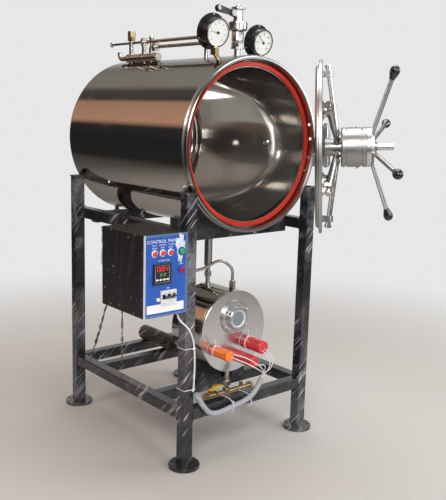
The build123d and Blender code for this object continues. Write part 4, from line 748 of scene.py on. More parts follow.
def make_finishes(c):
    """Every finish of the object, from the colours of the settings."""
    return {
        "jacket": mirror_steel("jacket_mirror", c.steel, (2.0, 420.0, 2.0), (0.05, 0.15)),
        # Lighter tint than the jacket's steel: painted light that brightens the inside of the chamber
        "chamber": mirror_steel(
            "chamber_mirror", (0.72, 0.7, 0.67), (2.0, 300.0, 2.0), (0.06, 0.17), 0.0012, 0.92),
        "head": mirror_steel("head_mirror", c.steel, (30.0, 2.0, 30.0), (0.1, 0.2)),
        "door": mirror_steel("door_mirror", c.satin, (6.0, 3.0, 6.0), (0.36, 0.42), 0.00005),
        "bright": mirror_steel(
            "bright_steel", (0.56, 0.56, 0.555), (90.0, 90.0, 90.0), (0.14, 0.28), 0.0001),
        "boiler": mirror_steel("boiler_mirror", c.steel, (2.0, 380.0, 2.0), (0.06, 0.16)),
        "ring": brushed_steel("ring_steel", (0.54, 0.53, 0.52), (14.0, 700.0, 14.0), (0.14, 0.26)),
        "drum": brushed_steel("drum_steel", (0.44, 0.44, 0.44), (14.0, 14.0, 14.0), (0.32, 0.44)),
        "spoke": brushed_steel("spoke_steel", (0.76, 0.76, 0.76), (20.0, 20.0, 20.0), (0.22, 0.34)),
        "valve": brushed_steel("valve_steel", (0.6, 0.58, 0.58), (20.0, 20.0, 900.0), (0.2, 0.32)),
        "plate": round_polish("boiler_plate_steel", c.plate, "boiler_plate", (0.13, 0.24)),
        "sight": round_polish("sight_steel", (0.66, 0.66, 0.67), "sight_flange", (0.2, 0.34)),
        "nickel": plated("nickel_pipe", c.nickel, (0.42, 0.38, 0.33), (0.22, 0.4)),
        "stems": plated(
            "gauge_stem_metal", c.brass, BRASS_TARNISH, (0.22, 0.42),
            below=(Box("gauge_left").low[2] - KNEE_BELOW_GAUGE, c.nickel)),
        "brass": plated("brass_fitting", c.brass, BRASS_TARNISH, (0.26, 0.46)),
        "bolt": plated("zinc_bolt", (0.68, 0.68, 0.67), (0.42, 0.4, 0.36), (0.2, 0.34)),
        "iron": plated("black_iron", (0.05, 0.05, 0.05), (0.12, 0.11, 0.1), (0.3, 0.5)),
        "gasket": soft_rubber("gasket_rubber", c.rubber, (0.62, 0.03, 0.015)),
        "caps": cap_rubber("cap_rubber", c),
        "posts": wrapped_paint("wrapped_posts", c, 1.05, 0.5),
        "side_rails": wrapped_paint("wrapped_side_rails", c, 0.9, 0.12, (0.28, 0.5), 0.1),
        "cross_rails": wrapped_paint("wrapped_cross_rails", c, 0.9, 0.14, (0.28, 0.5), 0.1),
        "header": wrapped_paint("header_paint", c, 0.6, 0.25, (0.45, 0.6), 0.0),
        "box": wrapped_sheet("box_sheet", c),
        "panel": printed_panel("blue_panel", c),
        "lamps": lamp_lens("lamp_lens"),
        "start": moulded("start_green", (0.02, 0.42, 0.1), 0.2, 0.6),
        "stop": moulded("stop_red", (0.36, 0.01, 0.03), 0.2, 0.6),
        "grey": moulded("breaker_grey", (0.76, 0.77, 0.78), 0.35, 0.2),
        "black": moulded("black_plastic", (0.012, 0.012, 0.013), 0.16, 0.6),
        "case": moulded("gauge_black", (0.01, 0.01, 0.011), 0.24, 0.5),
        "display": moulded("display_black", (0.02, 0.02, 0.025), 0.12, 0.8),
        "film": moulded("white_film", (0.7, 0.76, 0.84), 0.25, 0.3),
        "grey_film": moulded("grey_film", (0.26, 0.25, 0.24), 0.2, 0.4),
        "white": moulded("white_plastic", (0.86, 0.86, 0.85), 0.4, 0.1),
        "dial": moulded("dial_white", (0.86, 0.86, 0.84), 0.5, 0.1),
        "ink": moulded("dial_ink", (0.01, 0.01, 0.01), 0.5, 0.0),
        "print": moulded("white_print", (0.82, 0.84, 0.86), 0.5, 0.0),
        "handle": moulded("yellow_dip", c.handle, 0.3, 0.3),
        "sleeve": woven_sleeve("grey_sleeve", c.sleeve, (0.25, 0.27, 0.3), 60.0),
        "lead": soft_rubber("white_lead", c.lead, (0.66, 0.66, 0.66)),
        "sight_glass": clear_glass("sight_glass", (0.2, 0.25, 0.27), 0.9),
        "cover": clear_glass("dial_cover", (0.9, 0.9, 0.9), 0.06),
        "red_digit": glowing("red_digit", (0.9, 0.03, 0.03), 1.4),
        "green_digit": glowing("green_digit", (0.1, 0.6, 0.12), 0.7),
        # Near-black discs painted as the shade inside holes and openings
        "hole": moulded("dark_hole", (0.01, 0.01, 0.01), 0.6, 0.0),
    }


NODE_FINISH = {
    "leg_": "posts", "side_rails": "side_rails", "cross_rails": "cross_rails", "saddles": "cross_rails",
    "jacket": "jacket", "jacket_nozzles": "nickel", "rear_head": "head", "door_ring": "ring",
    "gasket": "gasket", "chamber": "chamber", "hinge_bracket": "bright", "door_plate": "door",
    "bar_guides": "bright", "lock_": "bright", "lock_drum": "drum", "handwheel": "spoke",
    "wheel_knobs": "black",
    "gauge_left": "case", "gauge_right": "case", "gauge_stems": "stems", "safety_valve": "valve",
    "valve_lever": "iron", "back_pipework": "nickel", "air_vent": "brass", "boiler": "boiler",
    "boiler_plate": "plate", "sight_flange": "sight", "sight_glass": "sight_glass", "heater_caps": "caps",
    "heater_sleeve": "sleeve", "heater_leads": "lead", "riser_cable": "lead", "steam_pipe": "nickel",
    "pressure_tube": "nickel", "drain_pipe": "nickel", "drain_valve_handle": "handle",
    "drain_valve": "brass", "drain_header": "header", "control_box": "box", "control_panel": "panel",
    "lamps": "lamps", "button_start": "start", "button_stop": "stop", "controller": "display",
    "breaker": "grey", "breaker_toggle": "black",
}


def finish_of(node):
    """The finish of a node: that of the longest key its name starts with."""
    keys = [key for key in NODE_FINISH if node.startswith(key)]
    return finish(NODE_FINISH[max(keys, key=len)])


# Operators


class AUTOCLAVE_OT_stage(bpy.types.Operator):
    """Camera, floor, soft lamps and a pale studio world"""

    bl_idname = "autoclave.stage"
    bl_label = "Stage"

    CAMERA = (-1632.7, -1765.5, 1131.5)
    YAW, PITCH, ROLL = 40.47, 10.49, 1.65
    SENSOR = 36.0
    AIM = (0.0, 150.0, 800.0)
    FADE = (1.0, 3.0)
    FLOOR_Z, FLOOR_SPARE = -1.0, 100.0
    LAMPS = (  # name, place, width, height, setting of its power
        ("key_lamp", (-2500.0, -2300.0, 2700.0), 1500.0, 1500.0, "key"),
        ("front_lamp", (100.0, -3400.0, 1500.0), 1000.0, 1600.0, "front"),
        ("fill_lamp", (2900.0, -1900.0, 1800.0), 1200.0, 1600.0, "fill"),
        ("top_lamp", (500.0, 300.0, 3400.0), 2200.0, 2200.0, "top"),
    )
    BANDS = (  # share of the turn about the object's length, colour
        (0.0, (0.1, 0.095, 0.09)), (0.25, (0.3, 0.28, 0.26)), (0.34, (0.2, 0.18, 0.17)),
        (0.395, (0.12, 0.11, 0.1)), (0.42, (0.035, 0.033, 0.033)), (0.5, (0.03, 0.03, 0.032)),
        (0.55, (0.045, 0.042, 0.042)), (0.572, (0.78, 0.44, 0.28)), (0.65, (0.68, 0.39, 0.25)),
        (0.664, (0.1, 0.085, 0.08)), (0.705, (0.12, 0.11, 0.1)), (0.73, (0.4, 0.37, 0.33)),
        (0.8, (0.44, 0.41, 0.37)), (0.88, (0.33, 0.31, 0.29)), (1.0, (0.1, 0.095, 0.09)),
    )
    FRONT_LOW, FRONT_HIGH = (0.2, 0.19, 0.18), (0.9, 0.9, 0.9)

    def execute(self, context):
        studio = settings()[3]
        self.make_camera(studio)
        for name, place, width, height, power in self.LAMPS:
            self.make_lamp(name, place, width, height, getattr(studio, power))
        self.make_floor(studio)
        self.make_world(studio)
        context.scene.view_settings.view_transform = "Standard"
        return {"FINISHED"}

    def make_camera(self, studio):
        """Camera at the measured place, turned by yaw, pitch and roll."""
        yaw, pitch, roll = (radians(angle) for angle in (self.YAW, self.PITCH, self.ROLL))
        ahead = Vector((sin(yaw) * cos(pitch), cos(yaw) * cos(pitch), -sin(pitch)))
        level = Vector((cos(yaw), -sin(yaw), 0.0))
        above = level.cross(ahead)
        right = level * cos(roll) + above * sin(roll)
        up = above * cos(roll) - level * sin(roll)
        data = bpy.data.cameras.new("camera")
        data.sensor_fit = "VERTICAL"
        data.sensor_height = self.SENSOR
        data.lens = studio.lens
        camera = bpy.data.objects.new("camera", data)
        turn = Matrix((right, up, -ahead)).transposed().to_4x4()
        camera.matrix_world = Matrix.Translation(Vector(framed(self.CAMERA))) @ turn
        bpy.context.scene.collection.objects.link(camera)
        bpy.context.scene.camera = camera

    def make_lamp(self, name, place, width, height, power):
        """Soft rectangular lamp that faces the object."""
        data = bpy.data.lights.new(name, "AREA")
        data.shape = "RECTANGLE"
        data.size, data.size_y = width / 1000, height / 1000
        data.energy = power
        lamp = bpy.data.objects.new(name, data)
        lamp.location = Vector(framed(place))
        aim = Vector(framed(self.AIM)) - lamp.location
        lamp.rotation_euler = aim.to_track_quat("-Z", "Y").to_euler()
        bpy.context.scene.collection.objects.link(lamp)

    def make_floor(self, studio):
        """Round pale floor whose far part fades out into the surround."""
        r = recipe("floor")
        cloud = r.noise(0.7, 3.0)
        x, y, _ = r.axes()
        away = (x * x + y * y) ** 0.5
        material = r.finish({
            "Base Color": r.mix(cloud, studio.floor, darker(studio.floor, 0.95)), "Roughness": 0.85,
            "Alpha": r.step(away, *self.FADE, 1.0, 0.0),
        })
        edge = 1000.0 * self.FADE[1] + self.FLOOR_SPARE
        points, quads = lathe([(0, self.FLOOR_Z), (edge, self.FLOOR_Z)], 64)
        mesh = bpy.data.meshes.new("floor")
        mesh.from_pydata(framed(points).tolist(), [], quads[:, ::-1].tolist())
        mesh.materials.append(material)
        floor = bpy.data.objects.new("floor", mesh)
        bpy.context.scene.collection.objects.link(floor)

    def make_world(self, studio):
        """Soft studio surround: pale straight behind the object, bright in front of it, and in long bands
        that run beside it, by the angle about its own length."""
        world = bpy.data.worlds.new("studio")
        bpy.context.scene.world = world
        r = Recipe(world)
        x, y, z = r.axes("Generated")
        yaw = radians(self.YAW)
        behind = r.step(x * sin(yaw) + y * cos(yaw), 0.8, 0.97)
        around = r.node("ShaderNodeMath", {"operation": "ARCTAN2"}, {0: z, 1: x * -1.0})
        share = around / (2 * pi) + 0.5
        bands = r.node("ShaderNodeValToRGB", {"stops": self.BANDS}, {"Fac": share})
        front = r.mix(r.step(z, -0.25, 0.3), self.FRONT_LOW, self.FRONT_HIGH)
        bands = r.mix(r.step(y * -1.0, 0.45, 0.8), bands, front)
        rays = r.node("ShaderNodeLightPath").socket.node.outputs
        seen, mirrored, through = [Wire(r, rays[name]) for name in (
            "Is Camera Ray", "Is Glossy Ray", "Is Transmission Ray")]
        pale = seen | through | (mirrored & behind)
        colour = r.mix(pale, bands, studio.backdrop)
        ground = r.node("ShaderNodeBackground", None, {"Color": colour, "Strength": 1.0})
        r.node("ShaderNodeOutputWorld", None, {"Surface": ground})


def nurbs_cord(name, route, diameter, look, exit_point, node):
    """Cord in the place of a node: a smooth NURBS curve with the route's points, in millimetres, as its
    control points."""
    points = framed(route)
    curve = bpy.data.curves.new(name, "CURVE")
    curve.dimensions = "3D"
    curve.bevel_depth = diameter / 2000
    curve.bevel_resolution = 3
    curve.use_fill_caps = True
    spline = curve.splines.new("NURBS")
    spline.points.add(len(points) - 1)
    spline.points.foreach_set("co", np.column_stack([points, np.ones(len(points))]).ravel())
    spline.order_u = 3
    spline.use_endpoint_u = True
    spline.resolution_u = 8
    curve.materials.append(finish(look))
    piece = add_piece(name, curve, "autoclave")
    line = curve_points(piece)
    framed(exit_point).tolist()
    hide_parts(node)


def curve_points(piece):
    """Points along a cord's own smooth line, in metres."""
    plain = piece.data.copy()
    plain.bevel_depth = 0.0
    probe = bpy.data.objects.new("probe", plain)
    mesh = bpy.data.meshes.new_from_object(probe)
    points = np.zeros(len(mesh.vertices) * 3)
    mesh.vertices.foreach_get("co", points)
    bpy.data.objects.remove(probe)
    bpy.data.curves.remove(plain)
    bpy.data.meshes.remove(mesh)
    return points.reshape(-1, 3)


class AUTOCLAVE_OT_cords(bpy.types.Operator):
    """Heater leads, their grey sleeve and the cable up the leg"""

    bl_idname = "autoclave.cords"
    bl_label = "Cords"

    SLEEVE = (
        (37, -31, 250), (13, -31, 207), (-32, -29, 181), (-84, -26, 175), (-138, -25, 165),
        (-182, -24, 169), (-213, -22, 205), (-242, -21.3, 250),
    )
    RISER = (
        (-247, -15.3, 258), (-243.5, -15.3, 318), (-244, -15.3, 378), (-250, -15.3, 432),
        (-274, -17, 474), (-296, -9, 494), (-300, 6, 511), (-300, 6, 525),
    )
    SLEEVE_WIDE, CABLE_WIDE, LEAD_WIDE = 18.0, 6.0, 3.4
    STRAIGHT, SPREAD = 12.0, 4.0
    LEADS = (  # x and z where it leaves its cap, points of its route
        (50.0, 346.0, [(62.0, -58.0, 318.0), (60.0, -52.0, 282.0)]),
        (38.0, 342.0, [(48.0, -60.0, 312.0), (52.0, -48.0, 280.0)]),
        (-94.0, 356.0, [(-62.0, -56.0, 346.0), (-8.0, -60.0, 312.0), (34.0, -46.0, 276.0)]),
        (-100.0, 346.0, [(-66.0, -64.0, 330.0), (-14.0, -70.0, 298.0), (28.0, -50.0, 272.0)]),
        (8.0, 300.0, [(26.0, -52.0, 304.0), (46.0, -40.0, 282.0)]),
    )

    def execute(self, context):
        nurbs_cord("grey_sleeve", self.SLEEVE, self.SLEEVE_WIDE, "sleeve",
                   self.SLEEVE[-1], "heater_sleeve")
        nurbs_cord("box_cable", self.RISER, self.CABLE_WIDE, "lead",
                   self.RISER[-1], "riser_cable")
        for number, route in enumerate(self.lead_routes(), start=1):
            nurbs_cord(f"heater_lead_{number}", route, self.LEAD_WIDE, "lead",
                       route[0], "heater_leads")
        return {"FINISHED"}

    def lead_routes(self):
        """Routes straight out of the caps, round by given points and straight into the mouth of the sleeve."""
        first, second = np.array(self.SLEEVE[0], float), np.array(self.SLEEVE[1], float)
        out = (first - second) / np.linalg.norm(first - second)
        side = np.cross(out, (0.0, 1.0, 0.0))
        side /= np.linalg.norm(side)
        front = Box("heater_caps").low[1]
        for index, (x, z, turns) in enumerate(self.LEADS):
            angle = 2 * pi * index / len(self.LEADS)
            end = first + self.SPREAD * (cos(angle) * side + sin(angle) * np.cross(out, side))
            yield [(x, front, z), (x, front - self.STRAIGHT, z), *turns,
                   tuple(end + self.STRAIGHT * out), tuple(end)]


class AUTOCLAVE_OT_finish(bpy.types.Operator):
    """Finish of every node of the frame"""

    bl_idname = "autoclave.finish"
    bl_label = "Finishes"

    def execute(self, context):
        for node, piece in frame["nodes"].items():
            for slot in piece.material_slots:
                slot.material = finish_of(node)
        return {"FINISHED"}


def lettering(name, entries, look, turn=None):
    """Flat words that face the front, as one mesh: each entry is the words, a height and the place of
    their middle."""
    whole = bmesh.new()
    upright = Matrix.Rotation(pi / 2, 4, "X")
    for words, height, place in entries:
        data = bpy.data.curves.new(name, "FONT")
        data.body = words
        data.size = height / 1000 * 1.4
        data.align_x = data.align_y = "CENTER"
        data.resolution_u = 2
        data.extrude = 0.00015
        probe = bpy.data.objects.new(name, data)
        mesh = bpy.data.meshes.new_from_object(probe)
        mesh.transform(Matrix.Translation(Vector(framed(place))) @ upright)
        whole.from_mesh(mesh)
        bpy.data.objects.remove(probe)
        bpy.data.curves.remove(data)
        bpy.data.meshes.remove(mesh)
    mesh = bpy.data.meshes.new(name)
    whole.to_mesh(mesh)
    whole.free()
    if turn is not None:
        mesh.transform(turn)
    mesh.materials.clear()
    mesh.materials.append(finish(look))
    return add_piece(name, mesh, "autoclave")


class AUTOCLAVE_OT_members(bpy.types.Operator):
    """Cross members under the vessel and the cradle under the boiler"""

    bl_idname = "autoclave.members"
    bl_label = "Cross members"

    BELOW_RAIL, SLIM = 54.0, 38.0
    CRADLE_Y, CRADLE_HALF, PLATE_LIP = 184.0, 70.0, 3.5
    GAP = 0.2
    BEFORE_HEADER, OVER_HEADER = 30, 20  # numbers of sections

    def member(self, x, middle, bottom, top):
        """Bar along x whose section at each x is a rectangle between two heights, closed at its ends."""
        bottom, top = np.broadcast_to(bottom, x.shape), np.broadcast_to(top, x.shape)
        front, back = np.full(len(x), middle - TUBE / 2), np.full(len(x), middle + TUBE / 2)
        corners = ((front, bottom), (back, bottom), (back, top), (front, top))
        return loft(np.stack([np.stack([x, y, z], axis=-1) for y, z in corners], axis=1))

    def cradle(self, bottom):
        """Bar under the boiler: its top follows the shell's circle and its right part clears the header."""
        shell, header = Box("boiler_shell"), Box("drain_header")
        middle, radius = shell.middle[0], shell.half[0] - self.PLATE_LIP
        edge = header.middle[0] - header.half[0]
        x = np.concatenate([np.linspace(middle - self.CRADLE_HALF, edge, self.BEFORE_HEADER),
                            np.linspace(edge, middle + self.CRADLE_HALF, self.OVER_HEADER)])
        arch = np.clip(header.half[0] ** 2 - (x - header.middle[0]) ** 2, 0, None)
        over_header = header.middle[2] + np.sqrt(arch) + self.GAP
        floor = np.where(np.arange(len(x)) < self.BEFORE_HEADER, bottom, over_header)
        top = shell.middle[2] - np.sqrt(radius ** 2 - (x - middle) ** 2) - self.GAP
        return self.member(x, self.CRADLE_Y, floor, top)

    def execute(self, context):
        saddles = Box("saddles")
        low, high = saddles.low, saddles.high
        bottom = Box("side_rails").high[2] - self.BELOW_RAIL
        x = np.linspace(low[0], high[0], 97)
        under_jacket = AXIS_Z - np.sqrt(JACKET_R ** 2 - x ** 2) - self.GAP
        shapes = [
            self.member(x, low[1] + TUBE / 2, bottom, np.minimum(high[2], under_jacket)),
            self.member(x, high[1] - TUBE / 2, bottom, np.minimum(bottom + self.SLIM, under_jacket)),
            self.cradle(low[2]),
        ]
        piece = make_piece("cross_members", shapes, "cross_rails", crease=40)
        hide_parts("saddles")
        return {"FINISHED"}


class AUTOCLAVE_OT_chamber_corner(bpy.types.Operator):
    """Rounded corner where the chamber wall runs into its dished end"""

    bl_idname = "autoclave.chamber_corner"
    bl_label = "Chamber corner"

    WALL, RADIUS, ARC = 5.0, 60.0, 82.0
    FORWARD, BEHIND, BACK = 0.85, 1.5, 2.5

    def execute(self, context):
        """An arc that leaves the bore and turns inwards, turned about the chamber's axis."""
        shell = Box("chamber_shell")
        bore = shell.half[0] - self.WALL
        arc = np.radians(np.linspace(0, self.ARC, 25))
        ring = np.stack([bore - self.RADIUS * (1 - np.cos(arc)),
                         self.RADIUS * (self.FORWARD - np.sin(arc))], axis=-1)
        end = ring[-1] + (0, -self.BACK)
        hidden = bore + self.BEHIND
        outline = [(hidden, end[1]), (hidden, ring[0][1]), *ring, end, (hidden, end[1])]
        place = (shell.middle[0], shell.high[1], shell.middle[2])
        make_piece("chamber_knuckle", [set_flat(lathe(outline, 128), place)], "chamber")
        return {"FINISHED"}


class AUTOCLAVE_OT_film_straps(bpy.types.Operator):
    """Twisted strips of wrapping film left between the box and the rails"""

    bl_idname = "autoclave.film_straps"
    bl_label = "Film straps"

    STRAPS = (  # name, start, end, width, turns, sag, finish
        ("film_strap_outer", (-424.0, 213.0, 526.0), (-279.0, 578.0, 195.0), 8.5, 1.6, 8.0, "posts"),
        ("film_strap_inner", (-367.0, 213.0, 526.0), (-184.0, 500.0, 198.8), 8.0, 2.2, 0.0, "grey_film"),
    )
    SECTION = ((-1, -1), (1, -1), (1, 1), (-1, 1))

    def execute(self, context):
        """Each is a flat section that turns along a line with a little sag, and gets wider and narrower
        by two sines."""
        for name, start, end, width, turns, sag, look in self.STRAPS:
            share = np.linspace(0, 1, 160)
            start, end = np.array(start), np.array(end)
            line = start + (end - start) * share[:, None]
            line[:, 2] -= sag * 4 * share * (1 - share)
            _, first, second = frames(line)
            angle = 2 * pi * turns * share + 0.6 * np.sin(31 * share)
            half = width / 2 * (1 + 0.22 * np.sin(23 * share) + 0.12 * np.sin(57 * share + 1.0))
            flat = first * np.cos(angle)[:, None] + second * np.sin(angle)[:, None]
            edge = second * np.cos(angle)[:, None] - first * np.sin(angle)[:, None]
            corners = [line + flat * (half * a)[:, None] + edge * b for a, b in self.SECTION]
            make_piece(name, [loft(np.stack(corners, axis=1))], look)
        return {"FINISHED"}


class AUTOCLAVE_OT_safety_valve(bpy.types.Operator):
    """Column of the safety valve, with a hex foot, a wide collar, a domed cap and the fork of its lever"""

    bl_idname = "autoclave.safety_valve"
    bl_label = "Safety valve"

    CAP_R, CAP_TOP = 10.0, 162.0
    COLUMN = (  # radius, height
        (0, 10), (16, 10), (16, 12), (10, 12.5), (10, 33), (20.5, 33), (20.5, 39), (17, 39), (17, 58),
        (19.5, 58.5), (19.5, 87), (17.5, 90), (26.5, 90), (30.5, 94), (30.5, 114), (26.5, 118),
        (15.5, 118), (15.5, 152), (12, 154), (12, 157), (23, 157), (23, 162),
    )
    HEX_ACROSS, HEX_HEIGHT, HEX_RISE = 36.0, 19.0, 39.0
    FORK_REACH, FORK_DROP, FORK_R, FORK_HALF = 24.0, 19.0, 9.0, 13.0
    CHEEK_Y, CHEEK_HALF = 7.0, 2.4
    PIN_R, PIN_LENGTH = 3.5, 19.0

    def execute(self, context):
        node = Box("safety_valve")
        rise = np.radians(np.linspace(0, 90, 10))
        dome = np.stack([self.CAP_R * np.cos(rise), self.CAP_TOP + self.CAP_R * np.sin(rise)], axis=-1)
        foot = np.array([0.0, node.middle[1], node.high[2] - self.CAP_TOP - self.CAP_R])
        nut = hex_head(self.HEX_ACROSS, self.HEX_HEIGHT)
        pivot = foot + (-self.FORK_REACH, 0.0, self.CAP_TOP)
        pivot[2] -= self.FORK_DROP
        pin = disc(self.PIN_R, self.PIN_LENGTH)
        piece = make_piece("safety_valve_column", [
            set_at(lathe([*self.COLUMN, *dome], 64), foot), set_at(nut, foot + (0, 0, self.HEX_RISE)),
            self.cheek(pivot, -self.CHEEK_Y), self.cheek(pivot, self.CHEEK_Y),
            set_at(pin, pivot - (0, self.PIN_LENGTH / 2, 0), (0, 1, 0)),
        ], "valve")
        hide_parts("safety_valve")
        return {"FINISHED"}

    def cheek(self, pivot, aside):
        """Cheek of the fork: a plate whose outline is a half circle about the pin and a square end."""
        turn = np.radians(np.linspace(90, 270, 19))
        round_end = self.FORK_R * np.stack([np.cos(turn), np.sin(turn)], axis=-1)
        square_end = [(self.FORK_REACH, -self.FORK_HALF), (self.FORK_REACH, self.FORK_HALF)]
        outline = pivot[[0, 2]] + np.concatenate([round_end, square_end])
        return loft(np.stack([np.insert(outline, 1, pivot[1] + aside + half, axis=1)
                              for half in (self.CHEEK_HALF, -self.CHEEK_HALF)]))


class AUTOCLAVE_OT_gauges(bpy.types.Operator):
    """Case, dial, ticks, figures, pointer, cover and screws of each gauge, leaning forward"""

    bl_idname = "autoclave.gauges"
    bl_label = "Gauges"

    # node, angle of the pointer, count of figures, step between them
    FACES = (("gauge_left", 176.0, 9, 1), ("gauge_right", 138.0, 7, 20))
    LEAN = 12.0
    LIP, BEZEL, SINK, EDGE, FLANGE = 11.0, 3.5, 3.0, 1.5, 4.0
    BOSS_R, BOSS_HEIGHT, BOSS_FORWARD, BOSS_DROP = 9.5, 9.0, 2.0, 4.0
    SWEEP_START, SWEEP, MINOR = 225.0, -270.0, 5
    TICK_EDGE, SCALE_EDGE, FIGURE_EDGE, PLAY = 3.5, 3.3, 13.0, 0.2
    TICKS_LIFT, POINTER_LIFT = 0.6, 1.4
    POINTER_SHARES, POINTER_WIDTHS = (-0.2, 0.0, 0.45, 0.8), (3.4, 3.8, 2.2, 0.8)
    HUB = ((0, 0), (4.4, 0), (4.4, 1.2), (3.4, 1.9), (0, 1.9))
    COVER_RISE, COVER_EDGE, COVER_DOME = 1.6, 0.4, 0.8
    SCREW_ANGLES, SCREW_EDGE, SCREW_BACK = (90.0, 210.0, 330.0), 5.0, 4.0

    def execute(self, context):
        for node, pointer, count, step in self.FACES:
            case = Box(node)
            centre = case.middle.copy()
            centre[1] = case.low[1] + self.SINK
            radius = case.half[0] - self.LIP - self.BEZEL
            pivot = Matrix.Translation(Vector(framed(centre)))
            self.node = node
            self.lean = pivot @ Matrix.Rotation(radians(self.LEAN), 4, "X") @ pivot.inverted()
            self.make_case(case)
            self.make_face(centre, radius, count, step)
            self.make_pointer(centre, radius, pointer)
            self.make_cover(centre, radius, case.low[1])
            self.make_screws(centre, case)
        return {"FINISHED"}

    def leaning(self, what, shapes, look, slot, crease=35):
        """Piece of the gauge that leans with it."""
        return make_piece(f"{self.node}_{what}", shapes, look, turn=self.lean, crease=crease)

    def make_case(self, case):
        """Round case: a flange, a wall and a bezel turned about its axis, and a brass boss that stays
        upright where the stem goes in."""
        flange_r = case.half[0]
        case_r = flange_r - self.LIP
        dial_r = case_r - self.BEZEL
        depth = case.high[1] - case.low[1]
        behind = self.FLANGE - depth
        outline = [
            (0, -depth), (flange_r, -depth), (flange_r, behind), (case_r, behind), (case_r, -self.EDGE),
            (case_r - self.EDGE, 0), (dial_r, 0), (dial_r, -self.SINK), (0, -self.SINK),
        ]
        place = (case.middle[0], case.low[1], case.middle[2])
        piece = self.leaning("case", [set_flat(lathe(outline, 72), place)], "case", "black_plastic")
        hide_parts(self.node)
        stem = case.middle - (0, self.BOSS_FORWARD, 0)
        stem[2] = case.middle[2] - case_r - self.BOSS_DROP
        boss = disc(self.BOSS_R, self.BOSS_HEIGHT, 24)
        make_piece(f"{self.node}_boss", [set_at(boss, stem)], "brass")

    def make_face(self, centre, radius, count, step):
        """White dial with its ticks and figures on it."""
        dials = settings()[2]
        plate = disc(radius - self.PLAY, 0.5, 72)
        self.leaning("dial", [set_flat(plate, centre)], "dial", "white_paint")
        top = centre - (0.0, self.TICKS_LIFT, 0.0)
        marks = []
        parts = (count - 1) * self.MINOR
        outer = radius - self.TICK_EDGE
        for index in range(parts + 1):
            angle = self.SWEEP_START + self.SWEEP * index / parts
            main = index % self.MINOR == 0
            inner = outer - (dials.long_tick if main else dials.short_tick)
            ends = top + ray(angle, outer), top + ray(angle, inner)
            marks.append(bar_between(*ends, 0.3, 0.8 if main else 0.45))
        angles = np.linspace(self.SWEEP_START, self.SWEEP_START + self.SWEEP, 61)
        scale = [top + ray(angle, radius - self.SCALE_EDGE) for angle in angles]
        marks.append(band(scale, 0.3, 0.5, closed=False))
        self.leaning("ticks", marks, "ink", "black_plastic", crease=30)
        words = []
        for index in range(count):
            angle = self.SWEEP_START + self.SWEEP * index / (count - 1)
            words.append((str(index * step), dials.figure, top + ray(angle, radius - self.FIGURE_EDGE)))
        lettering(f"{self.node}_figures", words, "ink", self.lean)

    def make_pointer(self, centre, radius, angle):
        """Tapered pointer with a round hub and a short tail: a strap along a ray whose points are moved
        out from it to the width at each share of the radius."""
        top = centre - (0.0, self.POINTER_LIFT, 0.0)
        shares, widths = np.array(self.POINTER_SHARES), np.array(self.POINTER_WIDTHS)
        way = ray(angle, 1.0)
        path = top + shares[:, None] * radius * way
        points, quads = band(path, 0.5, 1.0, closed=False)
        square = np.cross(way, (0.0, 1.0, 0.0))
        side = (points - np.repeat(path, 4, axis=0)) @ square
        points = points + (np.repeat(widths, 4) - 1.0)[:, None] * side[:, None] * square
        hub = set_flat(lathe(self.HUB, 24), top)
        self.leaning("pointer", [(points, quads), hub], "ink", "black_plastic")

    def make_cover(self, centre, radius, front):
        """Slightly domed clear cover: its height falls off with the square of the distance."""
        share = np.linspace(1, 0, 6)
        outline = [(0, 0)] + [
            ((radius - self.PLAY) * s, self.COVER_EDGE + self.COVER_DOME * (1 - s * s)) for s in share]
        place = (centre[0], front + self.COVER_RISE, centre[2])
        self.leaning("cover", [set_flat(lathe(outline, 48), place)], "cover", "glass")

    def make_screws(self, centre, case):
        """Three small screws on the flange behind the case."""
        screws = []
        for angle in self.SCREW_ANGLES:
            place = centre + ray(angle, case.half[0] - self.SCREW_EDGE)
            place[1] = case.high[1] - self.SCREW_BACK
            screws.append(set_flat(dome_head(2.6, 1.6), place))
        self.leaning("screws", screws, "bolt", "satin_steel")


